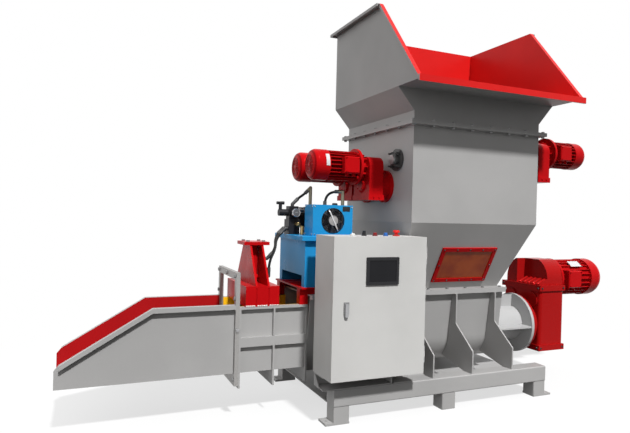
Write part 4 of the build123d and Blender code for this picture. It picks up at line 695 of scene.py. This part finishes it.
def motorSpots(kind, find):
    same = [node for node, (way, sizes) in motors.items() if sizes is kind]
    return [spot for node in same for spot in find(kind, *motorPlace(node))]


def flangeSpots(sizes, start, end, way):
    spots = []
    for index in range(4):  # between the quarters
        turn = math.radians(45 + 90 * index)
        around = Vector((0, math.cos(turn), math.sin(turn))) * sizes["boltRing"]
        spots.append((start + way * sizes["flangeAt"] + around, way))
    return spots


def lidSpots(sizes, start, end, way):
    reach = sizes["boxHalf"] - sizes["screwInset"]
    middle = start + way * sizes["boxAt"] + Vector((0, -sizes["boxFront"], 0))
    return [(middle + Vector((x * reach, 0, z * reach)), toFront) for x in (-1, 1) for z in (-1, 1)]


def glandSpots(sizes, start, end, way):
    half = sizes["boxHalf"]
    under = start + way * sizes["boxAt"] + Vector((0, -(sizes["boxFront"] + half * 1.2) / 2, -half))
    return [(under + way * side * half * 0.45, toDown) for side in (-1, 1)]


def endSpots(sizes, start, end, way):
    return [(end, way)]


for label, kind in (("small", smallMotor), ("big", bigMotor)):
    made = (("MotorRecess", makeRecess(kind), endSpots, recessShadePaint),
            ("MotorGrille", makeGrille(kind), endSpots, redPaint),
            ("FlangeBolts", hexHead(kind["boltWidth"], kind["boltHeight"]), flangeSpots, redPaint),
            ("LidScrews", screwHead(kind["screwWidth"], kind["screwWidth"] * 0.5), lidSpots, redPaint),
            ("CableGlands", makeGland(kind["glandWidth"]), glandSpots, redPaint))
    for ending, piece, find, finish in made:
        strew(piece, label + ending, motorSpots(kind, find), finish)

motorPlate = {"at": 0.284, "width": 0.024, "from": -4, "to": 42, "radius": 0.0988, "thick": 0.0012}
mainPlate = {"at": 0.215, "width": 0.11, "height": 0.06, "radius": 0.1405, "turn": 52, "thick": 0.002,
             "edge": 0.0007}


def makeCurvedPlate():  # bare plate that wraps round the fan cover
    clearPick()
    bpy.ops.mesh.primitive_cylinder_add(vertices=72, radius=motorPlate["radius"], depth=motorPlate["width"],
                                        end_fill_type="NOTHING")
    plate = bpy.context.object
    low, high = math.radians(motorPlate["from"]), math.radians(motorPlate["to"])
    pickFaces(plate, lambda face: not low < math.atan2(face.center.y, face.center.x) < high)
    bpy.ops.mesh.delete(type="FACE")
    bpy.ops.object.mode_set(mode="OBJECT")
    addWall(plate, motorPlate["thick"])
    return plate


start, end, way = motorPlace("front_motor")
strew(makeCurvedPlate(), "frontMotorPlate", [(start + way * motorPlate["at"], way)], platePaint)


def makeFlatPlate(sizes):
    plate = slab(sizes["width"], sizes["height"], sizes["thick"])
    roundTop(plate, sizes["edge"])
    return plate


start, end, way = motorPlace("main_motor")
turn = math.radians(mainPlate["turn"])
lean = Vector((0, -math.cos(turn), math.sin(turn)))
plateSpot = start + way * mainPlate["at"] + lean * mainPlate["radius"]
strew(makeFlatPlate(mainPlate), "mainMotorPlate", [(plateSpot, lean)], platePaint)
print("motor pieces made")


# gear cases

gearBolts = {"width": 0.015, "height": 0.006, "inset": 0.02, "levels": (0.681, 0.234), "reach": 0.2,
             "depth": 0.252}


def gearSpots():  # at the corners of the two bands
    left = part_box("main_motor")[0].x - gearBolts["depth"]
    reach, inset = gearBolts["reach"], gearBolts["inset"]
    spots = []
    for z in gearBolts["levels"]:
        for y in (inset - reach, reach - inset):
            spots.append(((left, y, z), toLeft))
        for x in (left + inset, left + gearBolts["depth"] - inset):
            spots.append(((x, -reach, z), toFront))
            spots.append(((x, reach, z), toBack))
    return spots


strew(screwHead(gearBolts["width"], gearBolts["height"]), "gearCaseBolts", gearSpots(), darkMetal)

plugs = {"width": 0.026, "height": 0.012, "in": 0.086, "sunk": 0.006, "shares": (0.25, 0.75), "mainX": 1.15,
         "mainY": 0.188, "mainZ": (0.31, 0.6)}


def plugSpots():  # two on the back of each case
    spots = []
    for node in ("front_gear_case", "rear_gear_case", "upper_gear_case"):
        low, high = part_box(node)
        middle = low.x + plugs["in"] if node != "upper_gear_case" else high.x - plugs["in"]
        for share in plugs["shares"]:
            spots.append(((middle, high.y - plugs["sunk"], low.z + (high.z - low.z) * share), toBack))
    for z in plugs["mainZ"]:
        spots.append(((plugs["mainX"], plugs["mainY"], z), toBack))
    return spots


strew(hexHead(plugs["width"], plugs["height"]), "gearCasePlugs", plugSpots(), darkMetal)

ridge = {"run": 0.084, "rise": 0.038, "width": 0.02, "round": 0.3, "count": 5, "first": -0.146, "last": 0.03,
         "left": 0.236, "level": 0.705}


def makeRidge():  # one rounded rib of the slope in front of the hood
    bar = disc(ridge["width"] / 2, math.hypot(ridge["run"], ridge["rise"]), 16)
    roundTop(bar, ridge["width"] * ridge["round"], 3)
    pickFaces(bar, lambda face: face.normal.z < -0.9)
    bpy.ops.mesh.bevel(offset=ridge["width"] * ridge["round"], segments=3, affect="EDGES")
    bpy.ops.object.mode_set(mode="OBJECT")
    return bar


def ridgeSpots():
    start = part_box("main_motor")[0].x - ridge["left"]
    step = (ridge["last"] - ridge["first"]) / (ridge["count"] - 1)
    way = (ridge["run"], 0, ridge["rise"])
    return [((start, ridge["first"] + step * index, ridge["level"]), way) for index in range(ridge["count"])]


strew(makeRidge(), "hoodRibs", ridgeSpots(), castPaint)

gearHub = {"radius": 0.047, "height": 0.009, "drop": 0.116, "bolts": 6, "bolt": 0.009, "boltRing": 0.039,
           "bandDrop": 0.776, "bandRise": 0.014, "bandReach": 0.111, "bandIn": 0.03, "case": 0.1}


def makeHubRing():  # cover ring round the cap at the end of each shaft
    ring = disc(gearHub["radius"], gearHub["height"] * 0.5, 40)
    roundTop(ring, gearHub["height"] * 0.15)
    raiseTop(ring, 0, 0.94)
    raiseTop(ring, gearHub["height"] * 0.5, 0.96)
    roundTop(ring, gearHub["height"] * 0.2)
    return ring


def hubSpots():
    spots = []
    for node in ("front_motor", "rear_motor", "upper_motor"):
        start, end, way = motorPlace(node)
        spots.append((start - Vector((0, 0, gearHub["drop"])), way))
    return spots


def hubBoltSpots():  # round each ring, and low on the case's two sides
    spots = []
    for point, way in hubSpots():
        for index in range(gearHub["bolts"]):
            turn = 2 * math.pi * (index + 0.5) / gearHub["bolts"]
            around = Vector((0, math.cos(turn), math.sin(turn))) * gearHub["boltRing"]
            spots.append((point + way * gearHub["height"] + around, way))
        for side, out in ((-1, toFront), (1, toBack)):
            drop = gearHub["drop"] * gearHub["bandDrop"] - gearHub["bandRise"]
            low = point + Vector((0, side * gearHub["bandReach"], -drop))
            for along in (gearHub["bandIn"], gearHub["case"] - gearHub["bandIn"]):
                spots.append((low - way * along, out))
    return spots


strew(makeHubRing(), "gearHubs", hubSpots(), redPaint)
strew(hexHead(gearHub["bolt"], gearHub["bolt"] * 0.6), "gearHubBolts", hubBoltSpots(), redPaint)
print("gear case pieces made")


# window frame screws, on the front slope

windowScrews = {"run": 0.236, "rise": 0.442, "halfWidth": 0.2075, "halfHeight": 0.1195, "proud": 0.005,
                "width": 0.011, "along": 5}


def windowSpots():
    low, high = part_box("window_frame")
    middle = (low + high) / 2
    up = Vector((0, -windowScrews["run"], windowScrews["rise"])).normalized()
    out = Vector((0, -up.z, up.y))
    spots = []
    for side in (-1, 1):
        for index in range(windowScrews["along"]):
            share = 2 * index / (windowScrews["along"] - 1) - 1
            point = middle + Vector((share * windowScrews["halfWidth"], 0, 0))
            point = point + up * side * windowScrews["halfHeight"]
            spots.append((point + out * windowScrews["proud"], out))
        point = middle + Vector((side * windowScrews["halfWidth"], 0, 0))
        spots.append((point + out * windowScrews["proud"], out))
    return spots


strew(screwHead(windowScrews["width"], windowScrews["width"] * 0.4), "windowScrews", windowSpots(), darkMetal)


# oil cooler

fanHub = {"radius": 0.031, "height": 0.009}
fanBar = {"length": 0.122, "width": 0.008, "thick": 0.003, "lean": (0.43, -0.9), "fold": 0.004, "back": 0.006,
          "tab": 0.008, "edge": 0.0006, "proud": 0.0081}


def makeFanHub():
    middle = disc(fanHub["radius"], fanHub["height"], 36)
    roundTop(middle, fanHub["height"] * 0.4, 3)
    raiseTop(middle, 0, 0.75)
    raiseTop(middle, -fanHub["height"] * 0.15, 0.96)
    return middle


def makeFanBar():  # flat strip with both ends folded back to the housing
    bar = slab(fanBar["length"], fanBar["width"], fanBar["thick"])
    for side in (-1, 1):
        pickFaces(bar, lambda face: face.normal.x * side > 0.9)
        for step in ((side * fanBar["fold"], 0, -fanBar["back"]), (side * fanBar["tab"], 0, 0)):
            bpy.ops.mesh.extrude_region_move(TRANSFORM_OT_translate={"value": step})
        bpy.ops.object.mode_set(mode="OBJECT")
    softenEdges(bar, fanBar["edge"])
    across, up = fanBar["lean"]
    bar.rotation_euler.z = math.atan2(up, across)
    bpy.ops.object.transform_apply(rotation=True)
    return bar


guardLow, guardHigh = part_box("fan_guard")
fanMiddle = Vector(((guardLow.x + guardHigh.x) / 2, guardLow.y, (guardLow.z + guardHigh.z) / 2))
strew(makeFanHub(), "fanHub", [(fanMiddle, toFront)], palePlastic)
strew(makeFanBar(), "fanBar", [(fanMiddle + Vector((0, -fanBar["proud"], 0)), toFront)], chrome)

cooler = {"screw": 0.009, "inset": 0.011}
coolerPlate = {"width": 0.05, "height": 0.03, "thick": 0.0015, "edge": 0.0005, "fromTop": 0.008,
               "fromRight": 0.02}
coolerPlug = {"width": 0.03, "foot": 0.008, "rise": 0.005, "x": -0.69, "forward": 0.03}
coolLow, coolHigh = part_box("cooler_housing")


def coolerSpots():  # at the corners of the front and of both sides
    inset = cooler["inset"]
    spots = []
    for z in (coolLow.z + inset, coolHigh.z - inset):
        for x in (coolLow.x + inset, coolHigh.x - inset):
            spots.append(((x, coolLow.y, z), toFront))
        for y in (coolLow.y + inset, coolHigh.y - inset):
            spots.append(((coolLow.x, y, z), toLeft))
            spots.append(((coolHigh.x, y, z), toRight))
    return spots


strew(screwHead(cooler["screw"], cooler["screw"] * 0.45), "coolerScrews", coolerSpots(), zinc)
plateX = coolHigh.x - coolerPlate["width"] / 2 - coolerPlate["fromRight"]
plateZ = coolHigh.z - coolerPlate["height"] / 2 - coolerPlate["fromTop"]
strew(makeFlatPlate(coolerPlate), "coolerPlate", [((plateX, coolLow.y, plateZ), toFront)], blackPlastic)


def makeCoolerPlug():
    plug = hexHead(coolerPlug["width"], coolerPlug["foot"])
    raiseTop(plug, 0, 0.7)
    raiseTop(plug, coolerPlug["rise"], 0.95)
    return plug


plugSpot = (coolerPlug["x"], (coolLow.y + coolHigh.y) / 2 - coolerPlug["forward"], coolHigh.z)
strew(makeCoolerPlug(), "coolerPlug", [(plugSpot, toUp)], blackPlastic)
print("cooler pieces made")


# valve stack

gauge = {"x": -0.88, "z": 1.201, "radius": 0.027, "depth": 0.008, "edge": 0.002, "sunk": 0.004, "dial": 0.8,
         "dialAt": 0.0042, "dialThick": 0.0012, "dialEdge": 0.0003, "needle": 0.75, "needleWidth": 0.0016,
         "needleThick": 0.0008, "needleAt": (0.004, -0.0056, 0.004)}


def makeGaugeRim():
    rim = disc(gauge["radius"], gauge["depth"], 36)
    roundTop(rim, gauge["edge"], 3)
    raiseTop(rim, 0, 0.82)
    raiseTop(rim, -gauge["sunk"], 0.98)
    return rim


def makeDial():
    dial = disc(gauge["radius"] * gauge["dial"], gauge["dialThick"], 36)
    roundTop(dial, gauge["dialEdge"], 1)
    return dial


def makeNeedle():  # narrows towards its tip
    needle = slab(gauge["radius"] * gauge["needle"], gauge["needleWidth"], gauge["needleThick"])
    pickFaces(needle, lambda face: face.normal.x > 0.9)
    bpy.ops.transform.resize(value=(1, 0.3, 1))
    bpy.ops.object.mode_set(mode="OBJECT")
    return needle


gaugeSpot = Vector((gauge["x"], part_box("valve_stack")[0].y, gauge["z"]))
dialSpot = gaugeSpot + Vector((0, -gauge["dialAt"], 0))
needleSpot = gaugeSpot + Vector(gauge["needleAt"])
strew(makeGaugeRim(), "gaugeRim", [(gaugeSpot, toFront)], chrome)
strew(makeDial(), "gaugeDial", [(dialSpot, toFront)], greyDial)
strew(makeNeedle(), "gaugeNeedle", [(needleSpot, toFront)], whitePlastic)

coilTube = {"width": 0.034, "length": 0.05, "edge": 0.002, "at": (-0.849, 0.03, 1.222)}
brassFitting = {"width": 0.02, "body": 0.03, "neck": 0.012, "cap": 0.014, "edge": 0.002,
                "upAt": (-0.826, 0.0, 1.063), "frontAt": (-0.87, -0.002, 1.128)}
valveGrip = {"length": 0.05, "radius": 0.0095, "edge": 0.002, "tipEdge": 0.003, "at": (-0.962, 0.04, 1.262)}
filler = {"neck": 0.028, "neckHeight": 0.016, "neckEdge": 0.001, "grow": 1.2, "cap": 0.022, "capEdge": 0.005,
          "in": 0.1, "y": 0.15}


def makeCoil():  # plated solenoid with a nut at its end
    coil = disc(coilTube["width"] / 2, coilTube["length"] * 0.7, 28)
    roundTop(coil, coilTube["edge"])
    raiseTop(coil, 0, 0.6)
    raiseTop(coil, coilTube["length"] * 0.18)
    roundTop(coil, coilTube["edge"])
    return coil


def makeBrass():  # hex body with a narrow neck and a cap
    body = hexHead(brassFitting["width"], brassFitting["body"])
    raiseTop(body, 0, 0.8)
    raiseTop(body, brassFitting["neck"])
    raiseTop(body, 0, 1.25)
    raiseTop(body, brassFitting["cap"])
    roundTop(body, brassFitting["edge"])
    return body


def makeGrip():  # cross bar of the handle, thicker at both ends
    grip = disc(valveGrip["radius"], valveGrip["length"] * 0.25, 16)
    roundTop(grip, valveGrip["edge"])
    raiseTop(grip, 0, 0.8)
    raiseTop(grip, valveGrip["length"] * 0.5, 1.2)
    raiseTop(grip, valveGrip["length"] * 0.25)
    roundTop(grip, valveGrip["tipEdge"])
    return grip


def makeFiller():
    cap = disc(filler["neck"], filler["neckHeight"], 24)
    roundTop(cap, filler["neckEdge"])
    raiseTop(cap, 0, filler["grow"])
    raiseTop(cap, filler["cap"])
    roundTop(cap, filler["capEdge"], 3)
    return cap


strew(makeCoil(), "valveCoil", [(coilTube["at"], toRight)], zinc)
brassSpots = [(brassFitting["upAt"], toUp), (brassFitting["frontAt"], toFront)]
strew(makeBrass(), "brassFittings", brassSpots, brass)
gripSpot = Vector(valveGrip["at"]) - Vector((valveGrip["length"] / 2, 0, 0))
strew(makeGrip(), "valveGrip", [(gripSpot, toRight)], blackPlastic)
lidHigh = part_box("tank_lid")[1]
fillerSpot = (lidHigh.x - filler["in"], filler["y"], lidHigh.z)
strew(makeFiller(), "tankFiller", [(fillerSpot, toUp)], blackPlastic)
print("hydraulic pieces made")


# stitch welds, portal pins and door gasket

welds = {"runs": ((-1.243, -1.197), (-1.173, -1.123), (-1.1, -1.053)), "count": 5, "length": 0.013,
         "width": 0.009, "height": 0.005}


def makeWeld():  # a flattened drop of weld metal
    clearPick()
    bpy.ops.mesh.primitive_uv_sphere_add(segments=12, ring_count=8, radius=0.5)
    drop = bpy.context.object
    drop.scale = (welds["length"], welds["width"], welds["height"])
    bpy.ops.object.transform_apply(scale=True)
    pickFaces(drop, lambda face: face.center.z < -welds["height"] * 0.2)
    bpy.ops.transform.resize(value=(1.15, 1.15, 0.4))
    bpy.ops.object.mode_set(mode="OBJECT")
    return drop


def weldSpots():
    low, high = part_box("press_tower")
    spots = []
    for first, last in welds["runs"]:
        for index in range(welds["count"]):
            x = first + (last - first) * index / (welds["count"] - 1)
            spots.append(((x, low.y, low.z + welds["width"] / 2), toFront))
            spots.append(((x, high.y, low.z + welds["width"] / 2), toBack))
    return spots


strew(makeWeld(), "towerWelds", weldSpots(), weldMetal, angle=80)

pins = {"width": 0.019, "height": 0.012, "level": 0.519}
postLow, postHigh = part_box("portal_frame")
postMiddle = (postLow.x + postHigh.x) / 2
pinSpots = [((postMiddle, y, pins["level"]), out) for y, out in ((postLow.y, toFront), (postHigh.y, toBack))]
strew(hexHead(pins["width"], pins["height"]), "portalPins", pinSpots, zinc)

gasket = {"margin": 0.016, "sunk": 0.01, "width": 0.012, "thick": 0.006, "edge": 0.002}


def makeGasket():  # foam strip round the inside of the door
    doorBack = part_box("cabinet_door")[1].y
    low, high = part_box("cabinet_body")
    middle = (low + high) / 2
    clearPick()
    bpy.ops.mesh.primitive_plane_add(size=1, location=(middle.x, doorBack - gasket["sunk"], middle.z),
                                     rotation=(-math.pi / 2, 0, 0))
    strip = bpy.context.object
    strip.scale = (high.x - low.x - gasket["margin"], high.z - low.z - gasket["margin"], 1)
    bpy.ops.object.transform_apply(location=True, rotation=True, scale=True)
    pickFaces(strip, lambda face: True)
    bpy.ops.mesh.inset(thickness=gasket["width"])
    bpy.ops.mesh.delete(type="FACE")
    bpy.ops.object.mode_set(mode="OBJECT")
    addWall(strip, gasket["thick"])
    softenEdges(strip, gasket["edge"])
    return strip


settle(makeGasket(), "doorGasket", rubber, "cabinet_door")
print("welds, pins and gasket made")


# floor and light

ground = {"size": 60, "below": 0.0005, "pale": 0.8, "bounce": 0.07, "glow": 0.68, "fade": (1.6, 3.4)}
light = {"sun": 4.1, "elevation": 52.0, "azimuth": -4.0, "spread": 4.0, "fill": 0.19, "side": 0.95}


def greyTone(level):
    return (level, level, level, 1)


def seenDirectly(blank):  # by the camera, in a reflection or through glass
    path = blank.make("ShaderNodeLightPath").socket.node
    camera, glossy, through = (Tone(blank.tree, path.outputs[name]) for name in
                               ("Is Camera Ray", "Is Glossy Ray", "Is Transmission Ray"))
    return (camera + glossy + through) > 0.5


def makeFloor():  # pale, white where it fades out, and dull for the light that bounces off it
    clearPick()
    bpy.ops.mesh.primitive_plane_add(size=ground["size"], location=(0, 0, -ground["below"]))
    floor = bpy.context.object
    floor.name = "floor"
    finish = bpy.data.materials.new("floorPaint")
    finish.use_nodes = True
    tree = finish.node_tree
    tree.nodes.remove(tree.nodes["Principled BSDF"])
    blank = Tone(tree)
    place = blank.make("ShaderNodeTexCoord", {}, {}, "Object")
    distance = place.make("ShaderNodeVectorMath", {"operation": "LENGTH"}, {0: place}, 1)
    pale = blank.make("ShaderNodeBsdfDiffuse", {}, {"Color": greyTone(ground["pale"])})
    dull = blank.make("ShaderNodeBsdfDiffuse", {}, {"Color": greyTone(ground["bounce"])})
    white = blank.make("ShaderNodeEmission", {}, {"Color": greyTone(1), "Strength": 1.0})
    glow = distance.span(*ground["fade"]) * (1 - ground["glow"]) + ground["glow"]
    near = blank.make("ShaderNodeMixShader", {}, {0: glow, 1: pale, 2: white})
    shown = blank.make("ShaderNodeMixShader", {}, {0: seenDirectly(blank), 1: dull, 2: near})
    tree.links.new(shown.socket, tree.nodes["Material Output"].inputs["Surface"])
    floor.data.materials.append(finish)


def makeWorld():
    world = bpy.data.worlds.new("studio")
    scene.world = world
    world.use_nodes = True
    tree = world.node_tree
    tree.nodes.remove(tree.nodes["Background"])
    blank = Tone(tree)
    white = blank.make("ShaderNodeBackground", {}, {"Color": greyTone(1), "Strength": 1.0})
    along = blank.make("ShaderNodeTexCoord", {}, {}, "Generated").axes()[0]
    level = along.span(0.0, -1.0) * light["side"] + light["fill"]  # softer from the right
    fill = blank.make("ShaderNodeBackground", {}, {"Color": greyTone(1), "Strength": level})
    shown = blank.make("ShaderNodeMixShader", {}, {0: seenDirectly(blank), 1: fill, 2: white})
    tree.links.new(shown.socket, tree.nodes["World Output"].inputs["Surface"])


def makeSun():
    lamp = bpy.data.lights.new("key", "SUN")
    lamp.energy = light["sun"]
    lamp.angle = math.radians(light["spread"])
    key = bpy.data.objects.new("key", lamp)
    scene.collection.objects.link(key)
    rise, turn = math.radians(light["elevation"]), math.radians(light["azimuth"])
    toward = Vector((math.sin(turn) * math.cos(rise), math.cos(turn) * math.cos(rise), -math.sin(rise)))
    key.rotation_mode = "QUATERNION"
    key.rotation_quaternion = toward.to_track_quat("-Z", "Y")


makeFloor()
makeWorld()
makeSun()
print("floor and light set")
